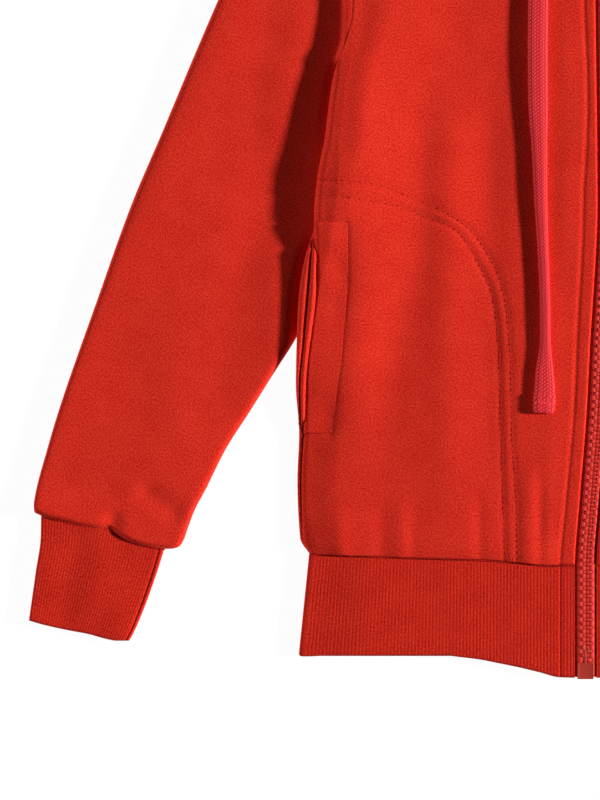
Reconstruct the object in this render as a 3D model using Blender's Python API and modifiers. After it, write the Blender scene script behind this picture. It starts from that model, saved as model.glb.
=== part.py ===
"""A child's zip hoodie laid flat, front up, with ribbed cuffs and waistband, welt pockets and a drawcord.

+X points to the wearer's left, +Y from the hem to the hood and +Z up. The origin is under the middle of the
garment, on the surface that it lies on. Tables are in millimetres: "out" is the distance from the middle line
and "up" the distance from the waistband's lower edge at the side. The garment's two halves mirror each other,
apart from the zip, which leans a little.
"""

import math

import bmesh
import bpy
import numpy as np

MM = 0.001
MIDDLE_UP = 383.0  # the garment's middle, measured up from the hem

FLEECE = 2.6  # brushed fleece wall
RIB_WALL = 2.4  # knitted rib wall between its ribs
SEAM = 0.3  # clearance between pieces at a seam
EDGE_GAP = 0.4  # clearance between two layers that lie on each other at an edge
STACK = 2 * FLEECE + EDGE_GAP  # two layers of fleece at a seam

ZIP_HALF = 4.3  # half the width of the closed teeth
ZIP_SLOT = 6.0  # from the zip's middle to the fabric edge beside it
ZIP_HEM = 7.6  # width of the turned and stitched edge beside the zip
ZIP_HEM_TOP = 7.5  # height of that edge above the surface
TEETH_LOW, TEETH_HIGH = 3.0, 5.9
TAPE_LOW, TAPE_HIGH = 4.0, 4.6
ZIP_TOP = 450.0
NECK_SIDE = (78.0, 522.0)  # out, up: where shoulder seam and neck seam meet
SHOULDER = (145.0, 498.0)  # out, up: the shoulder seam's outer end
UNDERARM = (138.3, 331.7)  # out, up
HEM_SIDE = (154.5, 57.6)  # out, up: the body's corner above the waistband

RIB_PITCH = 1.85
RIB_RISE = 0.5
BAND_FLARE = 0.034  # how much wider the waistband is at its lower edge
CUFF_RIBS = 41

# The zip's middle line: up, x
ZIP_LINE = [(-20, -0.8), (50, -0.8), (82, 1.4), (134, 5.6), (172, 7.6), (254, 11.8), (365, 10.6), (460, 10.0)]

# Side edge of each front, hem to underarm: up, out
FRONT_SIDE = [
    (57.6, 154.5), (65, 158.4), (98, 159.3), (128, 157.7), (154, 157.2), (186, 153.6), (212, 150.9),
    (244, 151.8), (268, 149.8), (287, 146.0), (308, 143.4), (320, 141.6), (331.7, 138.3),
]
# Side edge of the back, hem to underarm: up, out
BACK_SIDE = [
    (57.6, 154.5), (66, 159.5), (98, 161.0), (125, 160.0), (151, 161.9), (176, 161.4), (200, 160.3),
    (220, 157.2), (240, 151.4), (268, 149.2), (287, 145.4), (308, 142.8), (320, 141.2), (331.7, 138.3),
]
# Armhole seam, underarm to shoulder: up, out
ARMHOLE = [(331.7, 138.3), (343, 133.4), (362, 130.4), (390, 131.0), (430, 135.0), (465, 140.0), (498, 145.0)]
# Seam between front and waistband, side to zip: out, up
FRONT_HEM = [(154.5, 57.6), (148, 56.7), (117, 55.6), (84, 54.4), (58, 53.7), (37, 52.0), (22, 50.6), (12, 50.9)]
# Waistband's lower edge, side to zip: out, up
BAND_FOOT = [(160, 0.4), (138, 0.3), (80, 0.4), (64, -0.8), (53, -2.7), (37, -5.9), (14, -11.8), (0, -12.1)]
# Neck seam of each front, shoulder seam to zip; its last point is the zip's: out, up
FRONT_NECK = [(78, 522), (71, 500), (54, 475), (31, 459)]
# Neck seam of the back, shoulder seam to middle: out, up
BACK_NECK = [(75.5, 519.0), (55, 510.4), (28, 506.8), (0, 505.8)]

# How high the sleeve tucked beneath holds the body's side: up, height, out where that height is reached
TUCK = [
    (60, 0, 164), (126, 0, 164), (142, 1.2, 163), (158, 4.6, 162), (170, 6.5, 161), (180, 6.8, 158),
    (204, 6.8, 149.4), (232, 6.8, 142.8), (259, 6.8, 138.9), (293, 6.8, 137), (320, 6.8, 134),
    (345, 6.2, 129.5), (380, 4.6, 129.5), (420, 2.0, 132), (455, 0, 138), (500, 0, 145),
]
TUCK_RAMP = 24.0  # width of the slope up to it
LEDGE = 5.0  # width of the sleeve beside the armhole seam that stays as high as the body
LEDGE_FALL = 8.0  # width of the fall beyond that
PUFF = 2.7  # how far the loose middle of a panel stands above its seams

# Inner edge of the sleeve, underarm to hem: out, up
SLEEVE_INNER = [
    (139.2, 331.0), (142.6, 326.0), (144.9, 314.5), (143.0, 300), (139.5, 280), (138.9, 259), (142.8, 232),
    (149.4, 204), (161.7, 177), (174.4, 157), (187.8, 135.6), (200.6, 115.6), (213.3, 92.2), (218.9, 81.7),
    (223.6, 69.5), (227.6, 62.6), (233.9, 60.2),
]
# Outer edge of the sleeve, shoulder to hem: out, up
SLEEVE_OUTER = [
    (145.3, 498.2), (160, 468), (182, 417), (205, 365), (220, 330), (236, 291.7), (252.8, 252.2), (272.2, 198.3),
    (293.3, 137.8), (300.6, 113.3), (306.2, 92.2), (307.2, 83), (303.9, 79.4),
]
# Sleeve's hem over the cuff, inner to outer edge: out, up
SLEEVE_HEM = [
    (233.9, 60.2), (245.6, 62.4), (258.3, 67.6), (266.7, 71.2), (283.6, 73.0), (295.3, 76.8), (303.9, 79.4),
]
# Lower edge of the cuff, inner to outer edge: out, up
CUFF_FOOT = [(255.6, 8.9), (262, 9.4), (271, 11.4), (283.9, 14.4), (298.3, 17.8), (310, 20.6)]
# Inner and outer edges of the cuff, sleeve to foot: out, up
CUFF_INNER = [(233.9, 59.75), (238.9, 48.3), (245.6, 30.0), (251.7, 13.9), (255.6, 8.9)]
CUFF_OUTER = [(303.9, 78.95), (303.6, 67.0), (306.4, 47.2), (310, 20.6)]

# Folds of each front: out and up at the lower end, out and up at the upper end, half width, height
FRONT_FOLDS = [
    (114, 205, 110, 420, 13, 1.1),
    (118, 135, 116, 205, 12, 0.9),
    (96, 70, 94, 200, 11, -0.8),
    (86, 190, 84, 300, 11, -0.9),
    (69, 60, 68, 205, 10, 0.9),
    (65, 190, 62, 330, 11, 0.9),
    (44, 40, 42, 115, 7, -0.9),
    (28, 38, 27, 112, 5.5, 1.2),
    (21, 38, 22, 100, 4, -0.7),
    (115, 30, 113, 92, 4, -0.9),
    (103, 30, 103, 96, 5, 1.0),
    (82, 30, 83, 88, 4, -0.8),
    (61, 30, 60, 94, 4.5, 1.0),
    (135, 30, 136, 86, 5, 0.7),
]
# Folds of each sleeve: out and up at one end, out and up at the other, half width, height
SLEEVE_FOLDS = [
    (222, 76, 252, 96, 6, -1.3),
    (266, 60, 262, 84, 5, -1.5),
    (180, 400, 262, 205, 16, 0.9),
    (236, 190, 226, 110, 14, 0.6),
]

# Welt of each pocket, upper to lower end: up, out at the stitched edge
WELT = [(241, 133.1), (215, 132.8), (190, 134.4), (170, 136.1), (148, 138.9), (131, 141.1), (124, 141.7)]
WELT_RISE = 2.0
# Facing that shows in the pocket's mouth, upper to lower end: up, near edge out, far edge out
POCKET_FACING = [
    (226, 152.6, 153.4), (205, 152.6, 155.0), (174, 155.7, 158.0), (150, 158.2, 160.2), (134, 158.8, 159.8),
]

# Hood: spine of its back layer, silhouette and face edge, neck to crown: out, up
HOOD_SPINE = [(0.15, 506.3), (0.15, 600), (0.15, 690)]
HOOD_OUTLINE = [
    (78.3, 523.6), (80.5, 536), (92, 559), (111, 594), (123, 634), (123, 680), (101, 735), (57, 769), (0.15, 779),
]
HOOD_FACE = [(13, 490), (38, 540), (54, 590), (50, 632), (30, 656), (0.15, 664)]
HOOD_TOP = 8.2  # height of the upper layer

EYELET = (22.0, 476.0)  # out, up
EYELET_INNER, EYELET_OUTER, EYELET_THICK = 5.0, 7.4, 2.0
LEFT_SHIFT = 16.0  # how much further out the left eyelet and cord lie, because the zip leans that way

# Drawcord, eyelet to tip: out, up, half width, half thickness, height of its middle above the cloth beneath it
DRAWCORD = [
    (22.0, 475.6, 3.2, 1.9, 2.6),
    (22.0, 474.4, 3.3, 1.9, 4.2),
    (22.1, 471.0, 3.5, 1.9, 5.2),
    (22.4, 465.0, 3.9, 1.9, 4.9),
    (23.2, 456.0, 4.6, 1.9, 3.2),
    (24.4, 444.0, 5.2, 1.8, 2.5),
    (26.0, 420.0, 5.6, 1.8, 2.4),
    (27.0, 392.0, 5.6, 1.8, 2.4),
    (27.3, 365.0, 5.6, 1.8, 2.4),
    (27.6, 337.0, 5.6, 1.8, 2.4),
    (27.4, 309.0, 5.5, 1.8, 2.4),
    (26.6, 282.0, 4.4, 2.2, 2.8),
    (25.8, 254.0, 3.7, 2.5, 3.1),
    (24.6, 226.0, 3.1, 2.7, 3.3),
    (23.5, 198.0, 2.9, 2.8, 3.4),
    (23.3, 176.0, 2.9, 2.6, 3.2),
    (23.5, 166.0, 4.0, 2.2, 2.8),
    (23.7, 158.0, 5.0, 1.9, 2.5),
    (23.7, 149.0, 5.7, 1.9, 2.5),
    (23.9, 143.0, 6.0, 2.3, 2.9),
    (24.2, 137.0, 5.6, 2.2, 2.8),
    (24.3, 135.4, 4.4, 1.4, 2.6),
]

RED_FLEECE = ("brushed_fleece", (0.55, 0.02, 0.015), 0.95, 0.0)
RED_RIB = ("knitted_rib", (0.45, 0.02, 0.01), 0.95, 0.0)
RED_BRAID = ("braided_cord", (0.62, 0.04, 0.06), 0.8, 0.0)
RED_TAPE = ("woven_zip_tape", (0.4, 0.015, 0.01), 0.9, 0.0)
RED_PLASTIC = ("moulded_acetal", (0.45, 0.012, 0.012), 0.35, 0.0)
RED_ENAMEL = ("enamelled_zinc", (0.45, 0.012, 0.012), 0.3, 0.2)


# ---- curves, tables and steps ----


def read(at, values, x):
    """Values between a table's rows, on a smooth curve that never overshoots them."""
    at = np.asarray(at, float)
    rows = np.asarray(values, float).reshape(len(at), -1)
    x = np.clip(np.asarray(x, float), at[0], at[-1])
    run = np.diff(at)
    rise = np.diff(rows, axis=0) / run[:, None]
    product = rise[:-1] * rise[1:]
    total = np.where(product > 0, rise[:-1] + rise[1:], 1.0)
    slope = np.vstack([rise[:1], np.where(product > 0, 2 * product / total, 0.0), rise[-1:]])
    i = np.clip(np.searchsorted(at, x, side="right") - 1, 0, len(at) - 2)
    f = ((x - at[i]) / run[i])[..., None]
    step_run = run[i][..., None]
    start = rows[i] * (1 + 2 * f) * (1 - f) ** 2 + slope[i] * step_run * f * (1 - f) ** 2
    end = rows[i + 1] * f**2 * (3 - 2 * f) + slope[i + 1] * step_run * f**2 * (f - 1)
    return start + end


def column(table, x, which=1):
    """One column of a table at x, where x is measured along the table's first column."""
    rows = np.array(sorted(table), float)
    return read(rows[:, 0], rows[:, which], x)[..., 0]


def along(points, t):
    """Points at t, from 0 to 1, of the smooth curve through these ones."""
    points = np.asarray(points, float)
    lengths = np.linalg.norm(np.diff(points, axis=0), axis=1)
    at = np.concatenate([[0.0], np.cumsum(lengths)]) / lengths.sum()
    return read(at, points, t)


def joined(curves, shares, t):
    """Curves in a row, which meet at corners; shares gives t at each corner."""
    t = np.asarray(t, float)
    ends = [0.0, *shares, 1.0]
    points = along(curves[0], t / ends[1])
    for curve, start, end in zip(curves[1:], ends[1:], ends[2:]):
        points = np.where((t > start)[..., None], along(curve, (t - start) / (end - start)), points)
    return points


def step(x):
    """0 below 0, 1 above 1, and a smooth rise between."""
    x = np.clip(x, 0.0, 1.0)
    return x * x * (3 - 2 * x)


def patch(low, high, left, right, u, v, fade=1):
    """Plan points filled in between four edges: rows follow v from low to high, columns follow u.

    A larger fade makes the bend of the low edge die out sooner.
    """
    low, high, left, right = low(u)[None], high(u)[None], left(v)[:, None], right(v)[:, None]
    u, v = u[None, :, None], v[:, None, None]
    across = (1 - u) * left + u * right
    low_bend = low - (1 - u) * low[:, :1] - u * low[:, -1:]
    high_bend = high - (1 - u) * high[:, :1] - u * high[:, -1:]
    return across + (1 - v) ** fade * low_bend + v * high_bend


def zip_x(up):
    return column(ZIP_LINE, up)


# ---- heights ----


def body_edge(up):
    """How far out the body's silhouette lies."""
    side = np.maximum(column(FRONT_SIDE, up), column(BACK_SIDE, up))
    return np.where(up < UNDERARM[1], side, column(ARMHOLE, up))


def front_edge(up):
    return np.where(up < UNDERARM[1], column(FRONT_SIDE, up), column(ARMHOLE, up))


def lift(out, up):
    """Height of the body's underside: 0, or more where the sleeve is tucked beneath."""
    full = column(TUCK, up, 2)
    return column(TUCK, up, 1) * step((out - full + TUCK_RAMP) / TUCK_RAMP)


def folds(table, out, up):
    total = np.zeros_like(out)
    for low_out, low_up, high_out, high_up, half_width, height in table:
        run = np.array([high_out - low_out, high_up - low_up], float)
        length = np.linalg.norm(run)
        run /= length
        share = ((out - low_out) * run[0] + (up - low_up) * run[1]) / length
        aside = ((out - low_out) * run[1] - (up - low_up) * run[0]) / half_width
        taper = step(share / 0.28) * step((1 - share) / 0.28)
        total += height * np.exp(-(aside**2)) * taper
    return total


def front_top(side, x, up):
    """Height of the front's outer face at a point of the plan; side is -1 on the wearer's right."""
    out = side * x
    shoulder_slope = (NECK_SIDE[1] - SHOULDER[1]) / (SHOULDER[0] - NECK_SIDE[0])
    shoulder_line = SHOULDER[1] + (SHOULDER[0] - out) * shoulder_slope
    seam_up = column(FRONT_HEM, out)
    puff = PUFF * step((front_edge(up) - out) / 22)
    puff *= 1 - (1 - step((shoulder_line - up) / 22)) * step((out - 66) / 14)
    above_hem = up - seam_up
    puff += 0.9 * step(above_hem / 6) * step((30 - above_hem) / 24) * step((front_edge(up) - out) / 8)
    puff = np.maximum(puff, 0.9 * step((front_edge(up) - out) / 22))
    creases = folds(FRONT_FOLDS, out, up) * step((front_edge(up) - out) / 14)
    main = lift(out, up) + STACK + puff + creases * step(puff / PUFF)
    from_slot = side * (x - zip_x(up)) - ZIP_SLOT
    return ZIP_HEM_TOP + (main - ZIP_HEM_TOP) * step((from_slot - ZIP_HEM + 0.6) / 1.4)


def sleeve_heights(out, up):
    """Lower and upper height of the sleeve at a point of the plan."""
    aside = np.maximum(out - column(ARMHOLE, up), 0.0)
    below = np.maximum(UNDERARM[1] - up, 0.0)
    away = np.hypot(aside, below)
    low = lift(out, up) * (1 - step((away - LEDGE) / LEDGE_FALL))
    hem_fall = step((up - column(SLEEVE_HEM, out) - 2) / 14)
    loose = STACK + 0.5 + (PUFF - 0.5) * step(away / 26) * hem_fall
    high = low + loose + folds(SLEEVE_FOLDS, out, up) * step(away / 40)
    covered = step((body_edge(up) + 14 - out) / 12) * step((322 - up) / 8) * step((up - 150) / 14)
    pressed = column(TUCK, up, 1) - 0.45
    high = high + (np.minimum(high, pressed) - high) * covered
    return low, np.maximum(high, low + STACK + 0.1)


# ---- solids ----


def material(finish):
    name, colour, roughness, metallic = finish
    made = bpy.data.materials.get(name)
    if made is None:
        made = bpy.data.materials.new(name)
        made.use_nodes = True
        shader = made.node_tree.nodes["Principled BSDF"]
        shader.inputs["Base Color"].default_value = (*colour, 1.0)
        shader.inputs["Roughness"].default_value = roughness
        shader.inputs["Metallic"].default_value = metallic
    return made


def placed(points):
    """Table millimetres to metres from the origin."""
    return (np.asarray(points, float) - (0.0, MIDDLE_UP, 0.0)) * MM


def add_object(name, mesh, finish, smooth=True):
    made = bpy.data.objects.new(name, mesh)
    made.data.materials.append(material(finish))
    hoodie.objects.link(made)
    if smooth:
        mesh.shade_smooth()
        mesh.set_sharp_from_angle(angle=math.radians(50))
    return made


def wall(name, outer, inner, finish, ring=False):
    """A closed solid between two grids of points of one size. With ring, each row closes on itself."""
    rows, columns = outer.shape[:2]
    form = bmesh.new()
    faces = []
    skins = []
    for grid in (outer, inner):
        made = [form.verts.new(point) for point in placed(grid).reshape(-1, 3)]
        skins.append([made[row * columns : (row + 1) * columns] for row in range(rows)])
    spans = columns if ring else columns - 1
    for skin in skins:
        for row in range(rows - 1):
            for left in range(spans):
                right = (left + 1) % columns
                faces.append((skin[row][left], skin[row][right], skin[row + 1][right], skin[row + 1][left]))
    first, second = skins
    for row in (0, rows - 1):
        for left in range(spans):
            right = (left + 1) % columns
            faces.append((first[row][left], first[row][right], second[row][right], second[row][left]))
    if not ring:
        for side in (0, columns - 1):
            for row in range(rows - 1):
                faces.append((first[row][side], first[row + 1][side], second[row + 1][side], second[row][side]))
    for face in faces:
        form.faces.new(face)
    bmesh.ops.recalc_face_normals(form, faces=form.faces)
    mesh = bpy.data.meshes.new(name)
    form.to_mesh(mesh)
    form.free()
    return add_object(name, mesh, finish)


def slab(name, plan, low, high, finish):
    """A flat-lying panel: a grid in plan with a lower and an upper height at each point."""
    outer = np.concatenate([plan, high[..., None]], axis=-1)
    inner = np.concatenate([plan, low[..., None]], axis=-1)
    return wall(name, outer, inner, finish)


def mirrored(points, side):
    """Points given as out and up, on the wearer's right (side -1) or left (side 1)."""
    return np.asarray(points, float) * (side, 1.0)


def ring_layout(upper, lower):
    """Places around a flattened tube: how far across, and 1 on the upper or -1 on the lower face."""
    across = np.concatenate([upper, lower[::-1]])
    face = np.concatenate([np.ones(len(upper)), -np.ones(len(lower))])
    return across, face


TUBE_FADE = 8


def flat_tube(name, side, edges, t, layout, heights, wall_thickness, squareness, finish, ribs=None):
    """A flattened tube between an inner and an outer edge in plan, which its ring runs across."""
    across, face = layout
    t = np.asarray(t, float)
    width = np.linalg.norm(edges["inner"](t) - edges["outer"](t), axis=-1)[:, None]
    bulge = np.clip(1 - np.abs(2 * across - 1) ** squareness, 0, 1)
    crown = np.where(face > 0, np.sqrt(bulge), bulge**0.25)
    skins = []
    for inset in (0.0, wall_thickness + 1.4):
        shrunk = 0.5 + (across[None, :] - 0.5) * (1 - 2 * inset / width)
        plan = np.empty((len(t), len(across), 2))
        for row, row_t in enumerate(t):
            places = np.concatenate([[0.0], shrunk[row], [1.0]])
            edge_of = (edges["start"], edges["end"], edges["inner"], edges["outer"])
            plan[row] = patch(*edge_of, places, np.array([row_t]), TUBE_FADE)[0, 1:-1]
        low, high = heights(plan[..., 0], plan[..., 1])
        if inset:
            low, high = low + wall_thickness, high - wall_thickness
        middle = low + 0.42 * (high - low)
        z = np.where(face > 0, middle + (high - middle) * crown, middle - (middle - low) * crown)
        if ribs is not None and not inset:
            z = z + ribs * crown
        skins.append(np.concatenate([plan * (side, 1.0), z[..., None]], axis=-1))
    return wall(name, skins[0], skins[1], finish, ring=True)


# ---- the pieces ----

# Places along an armhole, underarm to shoulder, where the body's rows and the sleeve's ring meet
ARMHOLE_SHARES = np.array([0, 0.035, 0.09, 0.17, 0.28, 0.42, 0.58, 0.74, 0.87, 0.95, 1])
UNDERARM_SHARE = 0.618  # the share of a panel's side edge that lies below the underarm
SIDE_ROWS = [0, 0.012, 0.045, 0.09, 0.14, 0.172, 0.205, 0.26, 0.32, 0.39, 0.46, 0.52, 0.565, 0.595]
ARMHOLE_ROWS = UNDERARM_SHARE + (1 - UNDERARM_SHARE) * ARMHOLE_SHARES
FRONT_ROWS = np.concatenate([SIDE_ROWS, ARMHOLE_ROWS])
BACK_ROWS = np.concatenate([SIDE_ROWS[:1], SIDE_ROWS[3:], ARMHOLE_ROWS])
# Places along the back neck, from its middle to a shoulder seam, where back and hood meet
NECK_SHARES = np.array([0, 0.38, 0.70, 0.87, 1])
NECK_START = 0.21  # the share of the back's upper edge before the neck
SHOULDER_SHARE = 0.42  # the share of a front's upper edge that is shoulder seam


def side_edge(table):
    """A side edge from hem to shoulder: a function of its share, which gives out and up."""
    below = [(out, up) for up, out in table]
    above = [(out, up) for up, out in ARMHOLE]
    return lambda v: joined((below, above), (UNDERARM_SHARE,), v)


def make_front(name, side):
    u = np.array([
        0, 0.012, 0.04, 0.08, 0.13, 0.185, 0.235, 0.28, 0.325, 0.37, SHOULDER_SHARE, 0.48, 0.54, 0.59, 0.64,
        0.70, 0.76, 0.81, 0.85, 0.89, 0.94, 0.956, 0.995, 1,
    ])
    slot = [(zip_x(up) + side * ZIP_SLOT, up) for up in np.linspace(51.2, ZIP_TOP, 12)]
    hem = np.vstack([mirrored(FRONT_HEM, side) + (0, SEAM), [slot[0]]])
    neck = np.vstack([mirrored(FRONT_NECK, side), [slot[-1]]])
    shoulder = mirrored([SHOULDER, NECK_SIDE], side)
    inset = -0.15 * side
    edge = side_edge(FRONT_SIDE)
    plan = patch(
        lambda u: along(hem, u),
        lambda u: joined((shoulder, neck), (SHOULDER_SHARE,), u),
        lambda v: mirrored(edge(v), side) + (inset, 0),
        lambda v: along(slot, v),
        u,
        FRONT_ROWS,
    )
    top = front_top(side, plan[..., 0], plan[..., 1])
    return slab(name, plan, top - FLEECE, top, RED_FLEECE)


def make_back():
    neck_half = 0.5 - (0.5 - NECK_START) * NECK_SHARES[::-1]
    half = np.concatenate([[0, 0.01, 0.03, 0.055, 0.085, 0.12], neck_half])
    u = np.concatenate([half, 1 - half[-2::-1]])
    edge = side_edge(BACK_SIDE)
    neck = np.vstack([mirrored(BACK_NECK, -1), mirrored(BACK_NECK, 1)[-2::-1]])
    left_shoulder = mirrored([BACK_NECK[0], SHOULDER], 1)
    right_shoulder = mirrored([SHOULDER, BACK_NECK[0]], -1)
    hem = [(-HEM_SIDE[0], HEM_SIDE[1]), (0, HEM_SIDE[1]), HEM_SIDE]

    plan = patch(
        lambda u: along(hem, u),
        lambda u: joined((right_shoulder, neck, left_shoulder), (NECK_START, 1 - NECK_START), u),
        lambda v: mirrored(edge(v), -1) + (0.15, 0),
        lambda v: mirrored(edge(v), 1) - (0.15, 0),
        u,
        BACK_ROWS,
    )
    low = lift(np.abs(plan[..., 0]), plan[..., 1])
    return slab("back", plan, low, low + FLEECE, RED_FLEECE)


def make_sleeve(name, side):
    t = [
        0, 0.018, 0.036, 0.055, 0.08, 0.12, 0.17, 0.235, 0.30, 0.37, 0.45, 0.53, 0.61, 0.69, 0.77, 0.85, 0.91,
        0.95, 0.98, 1,
    ]
    armhole = [(out + 0.35, up) for up, out in ARMHOLE]
    armhole[0], armhole[-1] = SLEEVE_INNER[0], SLEEVE_OUTER[0]
    edges = {
        "start": lambda u: along(armhole, u),
        "end": lambda u: along(SLEEVE_HEM, u),
        "inner": lambda v: along(SLEEVE_INNER, v**1.5),
        "outer": lambda v: along(SLEEVE_OUTER, v),
    }
    layout = ring_layout(ARMHOLE_SHARES, ARMHOLE_SHARES[1:-1])
    return flat_tube(name, side, edges, t, layout, sleeve_heights, FLEECE, 7, RED_FLEECE)


def cuff_heights(out, up):
    return np.zeros_like(out), np.full_like(out, 5.9)


def make_cuff(name, side):
    upper = np.linspace(0, 1, 2 * CUFF_RIBS + 1)
    lower = 0.5 - 0.5 * np.cos(np.linspace(0, math.pi, 10)[1:-1])
    layout = ring_layout(upper, lower)
    ribs = np.zeros(len(layout[0]))
    ribs[: len(upper)] = RIB_RISE * (np.arange(len(upper)) % 2 - 0.5)
    seam = along(SLEEVE_HEM, ARMHOLE_SHARES) - (0, 1.5 * SEAM)
    edges = {
        "start": lambda u: np.stack([np.interp(u, ARMHOLE_SHARES, seam[:, i]) for i in (0, 1)], axis=-1),
        "end": lambda u: along(CUFF_FOOT, u),
        "inner": lambda v: along(CUFF_INNER, v),
        "outer": lambda v: along(CUFF_OUTER, v),
    }
    return flat_tube(name, side, edges, [0, 1], layout, cuff_heights, RIB_WALL, 9, RED_RIB, ribs)


def make_waistband():
    """One strip from zip edge to zip edge, round the back: sections along its path, ribbed where it faces up."""
    half_wall = RIB_WALL / 2
    turn = half_wall + 0.25
    back_z = half_wall
    front_z = back_z + 2 * turn
    front_rise = ZIP_HEM_TOP - RIB_RISE / 2 - half_wall - front_z
    side_x = HEM_SIDE[0] - SEAM - turn - half_wall
    path = []
    for side in (-1, 1):
        slot_x = zip_x(0.0) + side * ZIP_SLOT
        count = int(round((side_x - abs(slot_x)) / RIB_PITCH * 2))
        leg = []
        for i in range(count + 1):
            x = slot_x + (side * side_x - slot_x) * i / count
            from_side = side_x - abs(x)
            z = front_z + front_rise * step(from_side / 34)
            rib = RIB_RISE * (i % 2 - 0.5)
            leg.append((x, z, (0.0, 1.0), rib, 1.0))
        for angle in (45, 90, 135):
            a = math.radians(angle)
            normal = (side * math.sin(a), math.cos(a))
            leg.append((side * (side_x + turn * math.sin(a)), back_z + turn + turn * math.cos(a), normal, 0.0, 0.0))
        for x in (side_x, 120, 80, 40):
            leg.append((side * x, back_z, (0.0, -1.0), 0.0, 0.0))
        path += leg if side < 0 else [(0.0, back_z, (0.0, -1.0), 0.0, 0.0), *leg[::-1]]
    sections = []
    for x, z, (normal_x, normal_z), rib, is_front in path:
        top_up = column(FRONT_HEM, abs(x)) - SEAM if is_front else HEM_SIDE[1] - SEAM
        foot_up = column(BAND_FOOT, abs(x)) if is_front else 0.4
        top_up = min(top_up, HEM_SIDE[1] - SEAM)
        outer, inner = half_wall + rib, -half_wall
        lean = 1 + BAND_FLARE * (abs(x) / HEM_SIDE[0]) ** 2
        corners = (
            (outer, top_up, 1), (outer, foot_up + 1.2, lean),
            (inner, foot_up, lean), (inner, top_up, 1),
        )
        sections.append([
            ((x + normal_x * offset) * spread, up, z + normal_z * offset) for offset, up, spread in corners
        ])
    points = np.array(sections)
    return wall("waistband", points[:, :2], points[:, 3:1:-1], RED_RIB)


def make_hood(name, side):
    t = np.array([0, 0.04, 0.12, 0.22, 0.33, 0.44, 0.55, 0.67, 0.79, 0.90, 1])
    zip_corner = (side * (zip_x(ZIP_TOP) + side * (ZIP_SLOT + 0.3)), ZIP_TOP + SEAM)
    face = [zip_corner, *HOOD_FACE]
    neck = [HOOD_OUTLINE[0], *((out - SEAM, up + 2 * SEAM) for out, up in FRONT_NECK[1:]), zip_corner]
    back_neck = [HOOD_SPINE[0], *((out, up + 2 * SEAM) for out, up in BACK_NECK[-2:0:-1]), HOOD_OUTLINE[0]]
    crown_under = [HOOD_SPINE[-1], HOOD_OUTLINE[-1]]
    crown_over = [HOOD_OUTLINE[-1], HOOD_FACE[-1]]
    skins = []
    for inset in (0.0, FLEECE + 1.2):
        under = np.concatenate([NECK_SHARES[:-1], [0.96]])
        over = np.array([0, 0.03, 0.08, 0.16, 0.26, 0.38, 0.52, 0.68, 0.84, 1])
        under = under * (1 - inset / 110)
        over = 1 - (1 - over) * (1 - inset / 75)
        lower = patch(
            lambda u: along(back_neck, u),
            lambda u: along(crown_under, u),
            lambda v: along(HOOD_SPINE, v),
            lambda v: along(HOOD_OUTLINE, v),
            np.concatenate([under, [1.0]]),
            t,
        )[:, :-1]
        upper = patch(
            lambda u: along(neck, u),
            lambda u: along(crown_over, u),
            lambda v: along(HOOD_OUTLINE, v),
            lambda v: along(face, v),
            np.concatenate([[0.0], over]),
            t,
            TUBE_FADE,
        )[:, 1:]
        if inset:
            heights = [FLEECE] * 4 + [FLEECE + 0.2, 3.9, HOOD_TOP - FLEECE - 0.5] + [HOOD_TOP - FLEECE] * 8
        else:
            heights = [0.0] * 4 + [0.3, 3.6, HOOD_TOP - 1.6] + [HOOD_TOP] * 8
        plan = np.concatenate([lower, upper], axis=1) * (side, 1.0)
        z = np.broadcast_to(np.array(heights), plan.shape[:2])
        skins.append(np.concatenate([plan, z[..., None]], axis=-1))
    return wall(name, skins[0], skins[1], RED_FLEECE)


def make_welt(name, side):
    up = np.array([241, 234, 222, 208, 192, 176, 160, 148.5, 134, 124.0])
    across = np.array([0, 0.06, 0.35, 0.7, 0.94, 1])
    near = column(WELT, up)[:, None]
    far = (front_edge(up) - 0.1)[:, None]
    out = near + (far - near) * across[None, :]
    ups = np.broadcast_to(up[:, None], out.shape)
    cloth = front_top(side, side * out, ups)
    crown = 0.55 + 0.45 * step(np.minimum(across, 1 - across) / 0.06)
    ends = 0.6 + 0.4 * step(np.minimum(up - 124, 241 - up) / 5)
    rise = WELT_RISE * crown[None, :] * ends[:, None]
    plan = np.stack([side * out, ups], axis=-1)
    return slab(name, plan, cloth + SEAM, cloth + SEAM + rise, RED_FLEECE)


def make_pocket_facing(name, side):
    up = np.array([226, 212, 198, 184, 170, 156, 144, 134.0])
    near, far = column(POCKET_FACING, up, 1), column(POCKET_FACING, up, 2)
    out = np.stack([near, (near + far) / 2, far], axis=1)
    ups = np.broadcast_to(up[:, None], out.shape)
    base = lift(out, ups) + FLEECE + 2 * SEAM
    plan = np.stack([side * out, ups], axis=-1)
    crown = np.broadcast_to(np.array([1.3, 1.9, 1.3]), out.shape)
    return slab(name, plan, base, base + crown, RED_FLEECE)


def zip_strip(name, near, far, low, high, from_up, to_up, rows, finish):
    up = np.linspace(from_up, to_up, rows)
    x = zip_x(up)[:, None] + np.array([near, far])[None, :]
    plan = np.stack([x, np.broadcast_to(up[:, None], x.shape)], axis=-1)
    return slab(name, plan, np.full_like(x, low), np.full_like(x, high), finish)


def block(name, size, centre, finish, bevel=0.0, smooth=False):
    """A box with rounded edges; size and centre in millimetres of the tables."""
    form = bmesh.new()
    bmesh.ops.create_cube(form, size=1.0)
    bmesh.ops.scale(form, vec=np.array(size) * MM, verts=form.verts)
    bmesh.ops.translate(form, vec=placed([centre])[0], verts=form.verts)
    if bevel:
        bmesh.ops.bevel(
            form, geom=form.edges[:], offset=bevel * MM, segments=2, profile=0.5, affect="EDGES", material=-1
        )
    mesh = bpy.data.meshes.new(name)
    form.to_mesh(mesh)
    form.free()
    return add_object(name, mesh, finish, smooth)


SLIDER_UP = 444.0
SLIDER_LOW, SLIDER_HIGH = 5.0, 7.5
PIVOT_Z = 8.85
PULL_LENGTH, PULL_WIDTH, PULL_THICK = 29.0, 6.2, 1.3


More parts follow.
